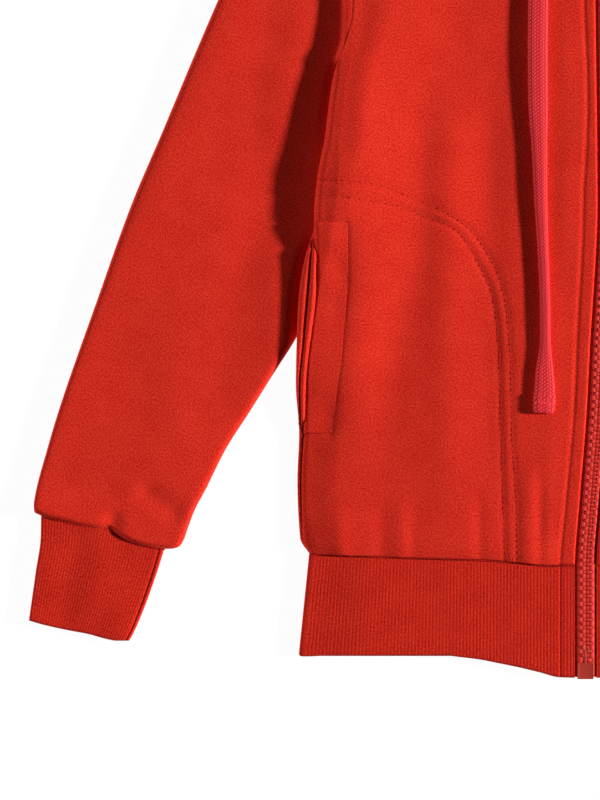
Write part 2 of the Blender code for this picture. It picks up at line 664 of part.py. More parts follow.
def make_slider():
    """Slider plate with a bridge that the pull hangs from."""
    centre_x = float(zip_x(SLIDER_UP))
    plate = block(
        "zip_slider", (10.8, 13.6, SLIDER_HIGH - SLIDER_LOW),
        (centre_x, SLIDER_UP, (SLIDER_LOW + SLIDER_HIGH) / 2), RED_ENAMEL, bevel=0.7,
    )
    bridge = block("bridge", (2.2, 9.4, 3.9), (centre_x, SLIDER_UP, SLIDER_HIGH + 1.55), RED_ENAMEL, bevel=0.6)
    hole = block("bridge_hole", (4.0, 5.8, 2.3), (centre_x, SLIDER_UP, PIVOT_Z), RED_ENAMEL)
    for part, other, operation in ((bridge, hole, "DIFFERENCE"), (plate, bridge, "UNION")):
        cut = part.modifiers.new(other.name, "BOOLEAN")
        cut.operation = operation
        cut.object = other
        cut.solver = "EXACT"
    for helper in (bridge, hole):
        hoodie.objects.unlink(helper)
        cutters.objects.link(helper)
        helper.hide_render = True
        helper.display_type = "WIRE"
    return plate


def make_pull():
    """Pull tab: a flat outline with a window that goes round the slider's bridge."""
    centre_x = float(zip_x(SLIDER_UP))
    half, top, foot = PULL_WIDTH / 2, PULL_THICK / 2, -PULL_LENGTH
    outline = bpy.data.curves.new("zip_pull", "CURVE")
    outline.dimensions = "2D"
    outline.fill_mode = "BOTH"
    outline.extrude = PULL_THICK / 2 * MM
    tip = [(half * math.cos(a), foot + half + half * math.sin(a)) for a in np.radians(np.arange(0, -181, -30))]
    loops = (
        [(-half, top), (half, top), (half, foot + half), *tip[1:-1], (-half, foot + half)],
        [(-1.6, -top), (1.6, -top), (1.6, -8.0), (-1.6, -8.0)],
    )
    for points in loops:
        spline = outline.splines.new("POLY")
        spline.points.add(len(points) - 1)
        for point, (x, y) in zip(spline.points, points):
            point.co = (x * MM, y * MM, 0.0, 1.0)
        spline.use_cyclic_u = True
    made = bpy.data.objects.new("zip_pull", outline)
    made.location = placed([(centre_x, SLIDER_UP, PIVOT_Z)])[0]
    made.data.materials.append(material(RED_ENAMEL))
    hoodie.objects.link(made)
    return made


def make_eyelet(name, side):
    """A flat ring where the drawcord leaves the hood's tunnel: its section is turned about its axis."""
    out, up = EYELET[0] + (LEFT_SHIFT if side > 0 else 0.0), EYELET[1]
    low, high = HOOD_TOP + SEAM, HOOD_TOP + SEAM + EYELET_THICK
    middle = (EYELET_INNER + EYELET_OUTER) / 2
    section = [(EYELET_OUTER, low), (EYELET_INNER, low), (EYELET_INNER, high - 0.5), (middle, high)]
    profile = bpy.data.meshes.new(name)
    points = [(radius * MM, 0.0, z * MM) for radius, z in section]
    profile.from_pydata(points, [(i, (i + 1) % len(points)) for i in range(len(points))], [])
    made = bpy.data.objects.new(name, profile)
    made.data.materials.append(material(RED_ENAMEL))
    made.location = placed([(side * out, up, 0.0)])[0]
    turn = made.modifiers.new("turn", "SCREW")
    turn.steps = turn.render_steps = 18
    turn.use_merge_vertices = True
    turn.merge_threshold = 0.00001
    turn.use_smooth_shade = True
    hoodie.objects.link(made)
    return made


def make_drawcord(name, side):
    """A flat braid from the eyelet down the chest, where its end is folded back and stitched."""
    route = np.array(DRAWCORD)
    route[:, 0] += LEFT_SHIFT if side > 0 else 0.0
    lengths = np.linalg.norm(np.diff(route[:, :2], axis=0), axis=1)
    share = np.concatenate([[0.0], np.cumsum(lengths)]) / lengths.sum()
    t = np.concatenate([share[:6], np.linspace(share[6], share[-4], 15), share[-3:]])
    out, up, half_width, half_thick, above = read(share, route, t).T
    on_hood = up > ZIP_TOP + 8
    cloth = np.where(on_hood, HOOD_TOP, front_top(side, side * out, np.minimum(up, ZIP_TOP)))
    centre = np.stack([side * out, up, cloth + above], axis=-1)
    heading = np.gradient(centre, axis=0)
    heading /= np.linalg.norm(heading, axis=1)[:, None]
    across = np.array([1.0, 0.0, 0.0]) - heading * heading[:, :1]
    across /= np.linalg.norm(across, axis=1)[:, None]
    normal = np.cross(heading, across)
    rings = []
    for angle in np.radians(np.arange(0, 360, 45)):
        aside = across * (half_width * math.cos(angle))[:, None]
        rings.append(centre + aside + normal * (half_thick * math.sin(angle))[:, None])
    grid = np.stack(rings, axis=1)
    form = bmesh.new()
    loops = [[form.verts.new(point) for point in ring] for ring in placed(grid)]
    for low, high in zip(loops, loops[1:]):
        for i in range(len(low)):
            j = (i + 1) % len(low)
            form.faces.new((low[i], low[j], high[j], high[i]))
    form.faces.new(loops[0])
    form.faces.new(loops[-1])
    bmesh.ops.recalc_face_normals(form, faces=form.faces)
    mesh = bpy.data.meshes.new(name)
    form.to_mesh(mesh)
    form.free()
    return add_object(name, mesh, RED_BRAID)


for old in list(bpy.data.objects):
    bpy.data.objects.remove(old, do_unlink=True)
hoodie = bpy.data.collections.new("kids_hoodie")
cutters = bpy.data.collections.new("cutters")
cutters.hide_render = True
bpy.context.scene.collection.children.link(hoodie)
bpy.context.scene.collection.children.link(cutters)

make_back()
make_waistband()
for wearer, side in (("right", -1), ("left", 1)):
    make_front(f"front_{wearer}", side)
    make_sleeve(f"sleeve_{wearer}", side)
    make_cuff(f"cuff_{wearer}", side)
    make_hood(f"hood_{wearer}", side)
    make_welt(f"pocket_welt_{wearer}", side)
    make_pocket_facing(f"pocket_facing_{wearer}", side)
    make_eyelet(f"eyelet_{wearer}", side)
    make_drawcord(f"drawcord_{wearer}", side)
    tape_edges = sorted((side * (ZIP_HALF + SEAM), side * 13.0))
    zip_strip(f"zip_tape_{wearer}", *tape_edges, TAPE_LOW, TAPE_HIGH, -11.0, 449.0, 11, RED_TAPE)
zip_strip("zip_teeth", -ZIP_HALF, ZIP_HALF, TEETH_LOW, TEETH_HIGH, -2.4, 436.6, 11, RED_PLASTIC)
block("zip_box", (8.6, 9.4, 3.6), (float(zip_x(0.0)), -7.6, 4.8), RED_PLASTIC, bevel=0.6)
make_slider()
make_pull()
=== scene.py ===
# %% [markdown]
# # A child's zip hoodie, laid flat
# The imported solids say where every panel lies. Each step below gives one kind of piece its cloth, folds,
# ribs, braid, teeth or sewing, in the same frame: metres, +X to the wearer's left, +Y to the hood, +Z up.

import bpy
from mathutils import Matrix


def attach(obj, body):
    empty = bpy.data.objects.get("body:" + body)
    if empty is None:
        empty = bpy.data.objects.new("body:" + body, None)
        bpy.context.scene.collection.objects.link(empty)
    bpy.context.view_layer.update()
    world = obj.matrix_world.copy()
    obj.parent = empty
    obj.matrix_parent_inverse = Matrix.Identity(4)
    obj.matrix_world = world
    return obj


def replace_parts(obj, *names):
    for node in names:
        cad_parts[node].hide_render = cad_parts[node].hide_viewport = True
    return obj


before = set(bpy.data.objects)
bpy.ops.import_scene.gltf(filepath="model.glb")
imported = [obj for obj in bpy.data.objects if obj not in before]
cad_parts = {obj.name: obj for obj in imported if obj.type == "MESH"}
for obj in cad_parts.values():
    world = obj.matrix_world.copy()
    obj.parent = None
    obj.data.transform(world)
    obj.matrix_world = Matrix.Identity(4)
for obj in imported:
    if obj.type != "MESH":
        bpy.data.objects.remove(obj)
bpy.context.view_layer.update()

import math

import bmesh
import bpy
import numpy as np
from mathutils import Matrix, Vector

print("nodes:", len(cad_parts))

# %% [markdown]
# ## Curves and tables
# A garment is drawn as a pattern: short tables of points, read as smooth curves. Tables are in millimetres:
# "out" is the distance from the middle line and "up" the distance from the waistband's lower edge. A spline
# through every point would also do, but it swings past the points beside a corner; this one never does.

# %% Curves and tables
MM = 0.001
MIDDLE_UP = 383.0  # the garment's middle, measured up from the hem
SIDES = (("right", -1), ("left", 1))  # the wearer's side, and the sign of x there


def read(at, values, x):
    """Values between a table's rows, on a smooth curve that never overshoots them."""
    at = np.asarray(at, float)
    rows = np.asarray(values, float).reshape(len(at), -1)
    x = np.clip(np.asarray(x, float), at[0], at[-1])
    run = np.diff(at)
    rise = np.diff(rows, axis=0) / run[:, None]
    product = rise[:-1] * rise[1:]
    total = np.where(product > 0, rise[:-1] + rise[1:], 1.0)
    slope = np.vstack([rise[:1], np.where(product > 0, 2 * product / total, 0.0), rise[-1:]])
    i = np.clip(np.searchsorted(at, x, side="right") - 1, 0, len(at) - 2)
    f = ((x - at[i]) / run[i])[..., None]
    step_run = run[i][..., None]
    start = rows[i] * (1 + 2 * f) * (1 - f) ** 2 + slope[i] * step_run * f * (1 - f) ** 2
    end = rows[i + 1] * f**2 * (3 - 2 * f) + slope[i + 1] * step_run * f**2 * (f - 1)
    return start + end


def column(table, x, which=1):
    """One column of a table at x, where x is measured along the table's first column."""
    rows = np.array(sorted(table), float)
    return read(rows[:, 0], rows[:, which], x)[..., 0]


def along(points, t):
    """Points at t, from 0 to 1, of the smooth curve through these ones."""
    points = np.asarray(points, float)
    lengths = np.linalg.norm(np.diff(points, axis=0), axis=1)
    at = np.concatenate([[0.0], np.cumsum(lengths)]) / lengths.sum()
    return read(at, points, t)


def distances(points):
    """How far along the line through them each of these points lies."""
    return np.concatenate([[0.0], np.cumsum(np.linalg.norm(np.diff(points, axis=0), axis=1))])


def joined(curves, shares, t):
    """Curves in a row, which meet at corners; shares gives t at each corner."""
    t = np.asarray(t, float)
    ends = [0.0, *shares, 1.0]
    points = along(curves[0], t / ends[1])
    for curve, start, end in zip(curves[1:], ends[1:], ends[2:]):
        points = np.where((t > start)[..., None], along(curve, (t - start) / (end - start)), points)
    return points


def step(x):
    """0 below 0, 1 above 1, and a smooth rise between."""
    x = np.clip(x, 0.0, 1.0)
    return x * x * (3 - 2 * x)


def ridge(x, width):
    """A soft ridge: 1 where x is 0, and about a third at this width to either side."""
    return np.exp(-((x / width) ** 2))


def patch(low, high, left, right, u, v, fade=1):
    """Plan points filled in between four edges: rows follow v from low to high, columns follow u.

    An edge is a table of points or a function. A larger fade makes the low edge's bend die out sooner.
    """
    edges = ((low, u), (high, u), (left, v), (right, v))
    low, high, left, right = (edge(t) if callable(edge) else along(edge, t) for edge, t in edges)
    low, high, left, right = low[None], high[None], left[:, None], right[:, None]
    u, v = u[None, :, None], v[:, None, None]
    across = (1 - u) * left + u * right
    low_bend = low - (1 - u) * low[:, :1] - u * low[:, -1:]
    high_bend = high - (1 - u) * high[:, :1] - u * high[:, -1:]
    return across + (1 - v) ** fade * low_bend + v * high_bend


def placed(points):
    """Table millimetres to metres from the origin."""
    return (np.asarray(points, float) - (0.0, MIDDLE_UP, 0.0)) * MM


def raised(plan, z):
    """Plan points with their heights."""
    return np.concatenate([plan, z[..., None]], axis=-1)


def mirrored(points, side):
    """Points given as out and up, on the wearer's right (side -1) or left (side 1)."""
    return np.asarray(points, float) * (side, 1.0)


SWELL_WAVES = 14
SWELL_SCALE = 4.2  # brings the sum of so many waves to about 1


def swell(x, y, seed, size):
    """Soft uneven swell, mostly between -1 and 1, of waves about as long as size. One seed gives one swell."""
    dice = np.random.default_rng(seed)
    total = np.zeros_like(x)
    for _ in range(SWELL_WAVES):
        heading, phase = dice.uniform(0, 2 * math.pi, 2)
        wave = size * dice.uniform(0.7, 1.7)
        total += np.sin(2 * math.pi * (x * math.cos(heading) + y * math.sin(heading)) / wave + phase)
    return total / SWELL_SCALE


# %% [markdown]
# ## How high the cloth lies
# Every panel is a grid in plan with a height at each point, so that neighbours share one rule: the sleeve that
# is tucked beneath the body lifts its side, each panel stands a little above its seams, and folds are soft
# ridges and troughs with their own length, width and height.

# %% Heights of the body
FLEECE = 2.6  # brushed fleece wall
SEAM = 0.3  # clearance between pieces at a seam
EDGE_GAP = 0.4  # clearance between two layers that lie on each other at an edge
STACK = 2 * FLEECE + EDGE_GAP  # two layers of fleece at a seam
ZIP_HALF = 4.3  # half the width of the closed teeth
ZIP_SLOT = 6.0  # from the zip's middle to the fabric edge beside it
ZIP_HEM_TOP = 7.5  # height of that edge above the surface
ZIP_TOP = 450.0
NECK_SIDE = (78.0, 522.0)  # out, up: where shoulder seam and neck seam meet
SHOULDER = (145.0, 498.0)  # out, up: the shoulder seam's outer end
UNDERARM = (138.3, 331.7)  # out, up
HEM_SIDE = (154.5, 57.6)  # out, up: the body's corner above the waistband
# The zip's middle line: up, x
ZIP_LINE = [(-20, -0.8), (50, -0.8), (82, 1.4), (134, 5.6), (172, 7.6), (254, 11.8), (365, 10.6), (460, 10.0)]
# Side edge of each front, hem to underarm: up, out
FRONT_SIDE = [
    (57.6, 154.5), (65, 158.4), (98, 159.3), (128, 157.7), (154, 157.2), (186, 153.6), (212, 150.9),
    (244, 151.8), (268, 149.8), (287, 146.0), (308, 143.4), (320, 141.6), (331.7, 138.3),
]
# Side edge of the back, hem to underarm: up, out
BACK_SIDE = [
    (57.6, 154.5), (66, 159.5), (98, 161.0), (125, 160.0), (151, 161.9), (176, 161.4), (200, 160.3),
    (220, 157.2), (240, 151.4), (268, 149.2), (287, 145.4), (308, 142.8), (320, 141.2), (331.7, 138.3),
]
# Armhole seam, underarm to shoulder: up, out
ARMHOLE = [(331.7, 138.3), (343, 133.4), (362, 130.4), (390, 131.0), (430, 135.0), (465, 140.0), (498, 145.0)]
# Seam between front and waistband, side to zip: out, up
FRONT_HEM = [
    (154.5, 57.6), (148, 56.7), (117, 55.6), (84, 54.4), (58, 53.7), (37, 52.0), (22, 50.6), (12, 50.9),
]
# Neck seam of each front, shoulder seam to zip; its last point is the zip's: out, up
FRONT_NECK = [(78, 522), (71, 500), (54, 475), (31, 459)]
# Neck seam of the back, shoulder seam to middle: out, up
BACK_NECK = [(75.5, 519.0), (55, 510.4), (28, 506.8), (0, 505.8)]
# How high the sleeve tucked beneath holds the body's side: up, height, out where that height is reached
TUCK = [
    (60, 0, 164), (126, 0, 164), (142, 1.2, 163), (158, 4.6, 162), (170, 6.5, 161), (180, 6.8, 158),
    (204, 6.8, 149.4), (232, 6.8, 142.8), (259, 6.8, 138.9), (293, 6.8, 137), (320, 6.8, 134),
    (345, 6.2, 129.5), (380, 4.6, 129.5), (420, 2.0, 132), (455, 0, 138), (500, 0, 145),
]
TUCK_RAMP = 24.0  # width of the slope up to it
ARMHOLE_DIPS = 346  # height up the body from which the cloth dips into the armhole seam
PUFF = 2.7  # how far the loose middle of a panel stands above its seams
PUFF_REACH = 22.0  # distance from a seam at which it is that high
HEM_PUFF = 0.9  # how far the cloth bulges above the hem's seam; a front is nowhere lower than this
CREASE_REACH = 14.0  # distance from the side at which folds have their full height
BAND_CROWN = 0.16  # how far the turned edge's middle stands above its rims
PANEL_STEP = 0.35  # how far the panel stands above the turned edge, past the groove between them
GROOVE_DEEP, GROOVE_HALF = 0.3, 0.8
# Folds of each front: out and up at the lower end, out and up at the upper end, half width, height
FRONT_FOLDS = [
    (131, 92, 123, 250, 12, 0.7),
    (122, 215, 127, 430, 12, 0.8),
    (113, 78, 100, 225, 12, -0.65),
    (97, 170, 88, 330, 12, -0.9),
    (82, 290, 62, 440, 16, -0.8),
    (78, 50, 77, 335, 11, 1.1),
    (53, 66, 53, 340, 10, -0.9),
    (115, 30, 114, 92, 4, -0.5),
    (103, 30, 103, 96, 4.5, 0.6),
    (97, 30, 97, 84, 3, -0.3),
    (59, 32, 60, 98, 3.2, -0.55),
    (33, 34, 32, 114, 5, 0.7),
    (25.5, 34, 26, 108, 3.5, -0.5),
    (20.5, 36, 21, 84, 3.5, 0.3),
    (136, 30, 136, 86, 5, 0.45),
]
# Width of the turned edge beside the zip: up, width
PLACKET = [
    (50, 8.2), (71, 7.7), (113, 7.2), (134, 7.0), (198, 7.7), (254, 7.9), (276, 6.5), (293, 5.6), (309, 5.0),
    (326, 5.0), (343, 5.6), (365, 6.3), (450, 7.0),
]


def zip_x(up):
    return column(ZIP_LINE, up)


def body_edge(up):
    """How far out the body's silhouette lies."""
    side = np.maximum(column(FRONT_SIDE, up), column(BACK_SIDE, up))
    return np.where(up < UNDERARM[1], side, column(ARMHOLE, up))


def front_edge(up):
    return np.where(up < UNDERARM[1], column(FRONT_SIDE, up), column(ARMHOLE, up))


def lift(out, up):
    """Height of the body's underside: 0, or more where the sleeve is tucked beneath."""
    full = column(TUCK, up, 2)
    return column(TUCK, up, 1) * step((out - full + TUCK_RAMP) / TUCK_RAMP)


def folds(table, out, up):
    total = np.zeros_like(out)
    for low_out, low_up, high_out, high_up, half_width, height in table:
        run = np.array([high_out - low_out, high_up - low_up], float)
        length = np.linalg.norm(run)
        run /= length
        share = ((out - low_out) * run[0] + (up - low_up) * run[1]) / length
        aside = ((out - low_out) * run[1] - (up - low_up) * run[0]) / half_width
        taper = step(share / 0.28) * step((1 - share) / 0.28)
        total += height * ridge(aside, 1) * taper
    return total


# Extra height of the soft fold at the body's side: up, height
SIDE_RISE = [
    (60, 0), (130, 0.2), (170, 0.8), (200, 0.8), (220, 1.3), (232, 2.4), (245, 3.4), (265, 3.5), (290, 3.6),
    (304, 3.5), (320, 2.7), (337, 2.0), (359, 2.0), (400, 1.3), (455, 0.2), (500, 0),
]
SIDE_SLOPE = 85.0  # width of the long slope from the body's side towards its middle


def front_top(side, x, up):
    """Height of the front's outer face at a point of the plan; side is -1 on the wearer's right."""
    out = side * x
    shoulder_slope = (NECK_SIDE[1] - SHOULDER[1]) / (SHOULDER[0] - NECK_SIDE[0])
    shoulder_line = SHOULDER[1] + (SHOULDER[0] - out) * shoulder_slope
    from_side = front_edge(up) - out
    above_hem = up - column(FRONT_HEM, out)
    puff = PUFF * step(from_side / PUFF_REACH)
    puff *= 1 - (1 - step((shoulder_line - up) / PUFF_REACH)) * step((out - 66) / 14)
    puff += HEM_PUFF * step(above_hem / 6) * step((30 - above_hem) / 24) * step(from_side / 8)
    puff = np.maximum(puff, HEM_PUFF * step(from_side / PUFF_REACH))
    inside = step(from_side / CREASE_REACH)
    creases = folds(FRONT_FOLDS, out, up) * inside
    creases += 0.28 * swell(x, up * 0.55, 11, 46) * inside
    share = np.clip((out - column(TUCK, up, 2) + SIDE_SLOPE) / SIDE_SLOPE, 0, 1)
    held = (column(TUCK, up, 1) + column(SIDE_RISE, up)) * share**1.6
    main = held + STACK + puff + creases * step(puff / PUFF)
    # the turned edge beside the zip is a flat band with a fine groove between it and the panel
    beyond = side * (x - zip_x(up)) - ZIP_SLOT - column(PLACKET, up)
    share = np.clip(1 + beyond / column(PLACKET, up), 0.0, 1.0)
    low = ZIP_HEM_TOP - 0.1
    band = low + BAND_CROWN * (1 - np.abs(2 * share - 1) ** 3)
    panel = low + PANEL_STEP * step(beyond / 3) + (main - low - PANEL_STEP) * step(beyond / 14)
    return np.where(beyond < 0, band, panel) - GROOVE_DEEP * ridge(beyond, GROOVE_HALF)


print("front, mid chest:", float(front_top(-1, np.array([-70.0]), np.array([250.0]))[0].round(2)), "mm high")

# %% [markdown]
# ## Colours and materials
# All cloth is one red: brushed fleece scatters light evenly and shows a fine diagonal knit and a speckle of
# fibres; the rib is the same yarn knitted denser. Patterns read the piece's own "grain" map, in metres along
# the cut, so that a knit runs with its panel. A painted picture could do it too, but would not stay sharp.

# %% Colour and node helpers
def linear(hex_colour):
    """An sRGB colour such as "c82820" as the linear RGBA that shaders use."""
    parts = [int(hex_colour[i : i + 2], 16) / 255 for i in (0, 2, 4)]
    return (*[c / 12.92 if c <= 0.04045 else ((c + 0.055) / 1.055) ** 2.4 for c in parts], 1.0)


def add_node(tree, kind, inputs=None, **settings):
    """Adds a node with its settings; an input is a value or the output that feeds it."""
    node = tree.nodes.new(kind)
    for name, value in settings.items():
        setattr(node, name, value)
    for name, value in (inputs or {}).items():
        if isinstance(value, bpy.types.NodeSocket):
            tree.links.new(value, node.inputs[name])
        else:
            node.inputs[name].default_value = value
    return node


def new_material(name, **shader_inputs):
    """A material with a Principled shader and these values on it."""
    made = bpy.data.materials.new(name)
    made.use_nodes = True
    shader = made.node_tree.nodes["Principled BSDF"]
    for key, value in shader_inputs.items():
        shader.inputs[key.replace("_", " ")].default_value = value
    return made, made.node_tree, shader


def ramp_between(tree, factor, dark, light, low=0.0, high=1.0):
    """A colour ramp from a dark to a light colour."""
    node = add_node(tree, "ShaderNodeValToRGB", {"Fac": factor})
    node.color_ramp.elements[0].position, node.color_ramp.elements[0].color = low, linear(dark)
    node.color_ramp.elements[1].position, node.color_ramp.elements[1].color = high, linear(light)
    return node.outputs["Color"]


# %% Cloth materials
KNIT = 1.3 * MM  # distance between the diagonal lines of the fleece's face
ONE_LINE = 0.444  # the wave pattern's scale that draws one diagonal line a unit


def knitted(name, dark, light, knit, speckle, bump, rough=0.95):
    """Knitted cloth: diagonal lines one knit apart and a speckle of fibres, in colour and in relief."""
    made, tree, shader = new_material(
        name, Roughness=rough, Specular_IOR_Level=0.12, Sheen_Weight=0.04, Sheen_Roughness=0.5,
        Sheen_Tint=linear("ff7080"),
    )
    grain = add_node(tree, "ShaderNodeUVMap", uv_map="grain").outputs["UV"]
    lines = add_node(
        tree, "ShaderNodeTexWave", {"Vector": grain, "Scale": ONE_LINE / knit, "Distortion": 2.5, "Detail": 1.0,
                                    "Detail Scale": 1.4}, bands_direction="DIAGONAL",
    ).outputs["Fac"]

    def noise(size, detail, roughness):
        inputs = {"Vector": grain, "Scale": 1 / size, "Detail": detail, "Roughness": roughness}
        return add_node(tree, "ShaderNodeTexNoise", inputs).outputs["Fac"]

    def mix(share, a, b):
        return add_node(tree, "ShaderNodeMix", {"Factor": share, "A": a, "B": b}, data_type="FLOAT").outputs[0]

    fibres, clouds = noise(1.0 * MM, 1.5, 0.6), noise(14 * MM, 2.0, 0.5)
    both = mix(speckle, lines, fibres)
    tone = mix(0.12, both, clouds)
    tree.links.new(ramp_between(tree, tone, dark, light, 0.34, 0.66), shader.inputs["Base Color"])
    relief = add_node(tree, "ShaderNodeBump", {"Strength": bump, "Distance": 0.35 * MM, "Height": both})
    tree.links.new(relief.outputs["Normal"], shader.inputs["Normal"])
    return made


# brushed fleece: no gloss at all, a light nap that catches light at the edges
fleece = knitted("brushed cotton fleece", "c21006", "e93b27", KNIT, 0.88, 0.35)
# the same yarn, knitted into a dense elastic rib
rib_knit = knitted("cotton rib knit", "b00d04", "df331f", 0.9 * MM, 0.9, 0.2)

# braided polyester: a pinker red with a slight sheen; its colour is painted lighter on each strand's crest, as
# a painted highlight, and darker in the gaps between strands, as painted shade
braid, tree, shader = new_material(
    "braided polyester cord", Roughness=0.7, Specular_IOR_Level=0.2, Sheen_Weight=0.06,
    Sheen_Roughness=0.4, Sheen_Tint=linear("ffa0a8"),
)
# the strand value paints the crests lighter and the gaps darker: painted highlight and painted shade
height = add_node(tree, "ShaderNodeAttribute", attribute_name="strand_relief_and_painted_light").outputs["Fac"]
tree.links.new(ramp_between(tree, height, "d0121c", "ff4c52", 0.1, 0.75), shader.inputs["Base Color"])

# woven polyester tape: flat and a little darker, with a fine weave
tape_cloth = knitted("woven zip tape", "bc2c16", "d03c24", 0.7 * MM, 0.3, 0.4, 0.85)

# moulded acetal: smooth, with a satin shine, so that every tooth holds a soft highlight
acetal = new_material("moulded acetal", Base_Color=linear("da2a1e"), Roughness=0.5, Specular_IOR_Level=0.4)[0]
# the same acetal for the box, duller and a little browner
box_acetal = new_material("duller browner acetal", Base_Color=linear("b43020"), Roughness=0.6, Specular_IOR_Level=0.35)[0]

# enamelled zinc: hard paint with a satin shine
enamel = new_material("enamelled zinc", Base_Color=linear("b81815"), Roughness=0.5, Specular_IOR_Level=0.35)[0]

# sewing thread of polyester: a little shinier than the cloth that it lies in; its colour is partly the red
# thread and partly painted darker, as painted shade of the stitched groove
thread = new_material(
    "polyester thread with painted groove shade", Base_Color=linear("a0140b"), Roughness=0.8, Specular_IOR_Level=0.15,
)[0]
# thread for the overlocked seams: the same thread painted darker, as painted shade deep in a seam where little
# light comes
seam_shade_thread = new_material(
    "thread painted dark as seam shade", Base_Color=linear("8a0e06"), Roughness=0.95, Specular_IOR_Level=0.05,
)[0]
print("materials:", len(bpy.data.materials))

# %% [markdown]
# ## Camera, light and floor
# The garment lies on a pale floor and is seen straight from above, from far enough that its few millimetres
# of height do not lean outwards. One low lamp on the wearer's left rakes over the cloth, so that shallow folds
# and ribs show; a weaker, wider one from the other side and a dim even sky fill the shadows.

# %% Camera
def in_scene(name, data):
    """An object that holds this data, linked into the scene."""
    made = bpy.data.objects.new(name, data)
    bpy.context.scene.collection.objects.link(made)
    return made


SENSOR = 36  # millimetres across
CAMERA_X, CAMERA_Y, CAMERA_AWAY, VIEW_HEIGHT = -0.1594, -0.2402, 3.0, 0.4444
camera_data = bpy.data.cameras.new("camera")
camera_data.sensor_width = SENSOR
camera_data.lens = SENSOR * CAMERA_AWAY / VIEW_HEIGHT
camera_data.clip_end = 20
camera = in_scene("camera", camera_data)
camera.location = (CAMERA_X, CAMERA_Y, CAMERA_AWAY + 0.006)
bpy.context.scene.camera = camera
bpy.context.scene.view_settings.view_transform = "Standard"

# %% Light and floor
def add_sun(name, energy, angle, toward):
    """A sun lamp of this width in degrees; toward points from the garment to it."""
    data = bpy.data.lights.new(name, "SUN")
    data.energy, data.angle = energy, math.radians(angle)
    in_scene(name, data).rotation_euler = Vector(toward).to_track_quat("Z", "Y").to_euler()


def mesh_object(name, form, finish):
    """The form as an object with this material; the form itself is freed."""
    mesh = bpy.data.meshes.new(name)
    form.to_mesh(mesh)
    form.free()
    mesh.materials.append(finish)
    mesh.shade_smooth()
    return in_scene(name, mesh)


KEY_UP, KEY_TURN, FILL_UP = math.radians(20), math.radians(3), math.radians(8)
add_sun("key", 6.3, 5, (
    math.cos(KEY_UP) * math.cos(KEY_TURN), math.cos(KEY_UP) * math.sin(KEY_TURN), math.sin(KEY_UP),
))
add_sun("fill", 2.2, 25, (-math.cos(FILL_UP), 0.1, math.sin(FILL_UP)))

sky = bpy.data.worlds.new("sky")
sky.use_nodes = True
sky.node_tree.nodes["Background"].inputs["Color"].default_value = (1, 1, 1, 1)
sky.node_tree.nodes["Background"].inputs["Strength"].default_value = 0.06
bpy.context.scene.world = sky

# white board lit from behind: it stays pale in the garment's shadow
board = new_material(
    "lit white board", Base_Color=(0.06, 0.06, 0.06, 1), Roughness=1.0, Specular_IOR_Level=0.0,
    Emission_Color=(1, 1, 1, 1), Emission_Strength=0.965,
)[0]
form = bmesh.new()
bmesh.ops.create_grid(form, x_segments=1, y_segments=1, size=3.0)
bmesh.ops.translate(form, vec=(0, 0, -0.0004), verts=form.verts)
floor = mesh_object("floor", form, board)

# %% [markdown]
# ## Making cloth
# A piece of cloth starts as a flat grid. Its points are moved to their places, a tube's two edges are welded,
# and a Solidify modifier gives it its wall. Cutting it from a solid would be slower and could not carry the
# grain map.

# %% Cloth maker
WELD = 1e-7  # metres within which two points are one


def cloth(name, points, finish, grain=None, wall=2.2, ring=False, normal_up=True):
    """Cloth through a grid of points in table millimetres. With ring, each row closes on itself.

    The grain map gives each point's place along the cut in metres; without one, that is its place in plan.
    """
    grain = placed(points)[..., :2] if grain is None else grain
    if ring:
        turn = grain[:, -1:] + (grain[:, -1:] - grain[:, -2:-1])
        points, grain = np.concatenate([points, points[:, :1]], 1), np.concatenate([grain, turn], 1)
    rows, columns = points.shape[:2]
    form = bmesh.new()
    bmesh.ops.create_grid(form, x_segments=columns - 1, y_segments=rows - 1, size=0.5)
    at = [(round((v.co.y + 0.5) * (rows - 1)), round((v.co.x + 0.5) * (columns - 1))) for v in form.verts]
    form.verts.index_update()
    layer = form.loops.layers.uv.new("grain")
    for face in form.faces:
        for loop in face.loops:
            loop[layer].uv = grain[at[loop.vert.index]]
    metres = placed(points)
    for vertex, place in zip(form.verts, at):
        vertex.co = metres[place]
    if ring:
        bmesh.ops.remove_doubles(form, verts=form.verts, dist=WELD)
        bmesh.ops.recalc_face_normals(form, faces=form.faces)
    else:
        form.normal_update()
        if (sum(face.normal.z * face.calc_area() for face in form.faces) < 0) == normal_up:
            bmesh.ops.reverse_faces(form, faces=form.faces)
    area = sum(face.calc_area() for face in form.faces)
    made = mesh_object(name, form, finish)
    solidify = made.modifiers.new("wall", "SOLIDIFY")
    solidify.thickness = wall * MM
    solidify.offset = -1
    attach(made, "garment")
    print(name, rows, "x", columns, "points, cloth", round(area, 4), "square metres")
    return made


def roll(distance, radius, height):
    """How far cloth has dropped at this distance from an edge that it rounds over."""
    share = np.clip(1 - distance / radius, 0.0, 1.0)
    return height * (1 - np.sqrt(1 - share**2))


# %% [markdown]
# ## Drawcords
# Each cord is a flat tubular braid. A plain tube is swept along its route, flat where it lies and narrower
# where it twists, and the braid is pressed into it: rows of slanted strands that turn the other way in every
# second row, which reads as small chevrons. Modelling single strands would take far more faces.

# %% Drawcords
LEFT_SHIFT = 16.0  # how much further out the left eyelet and cord lie, because the zip leans that way
HOOD_TOP = 8.2  # height of the upper layer
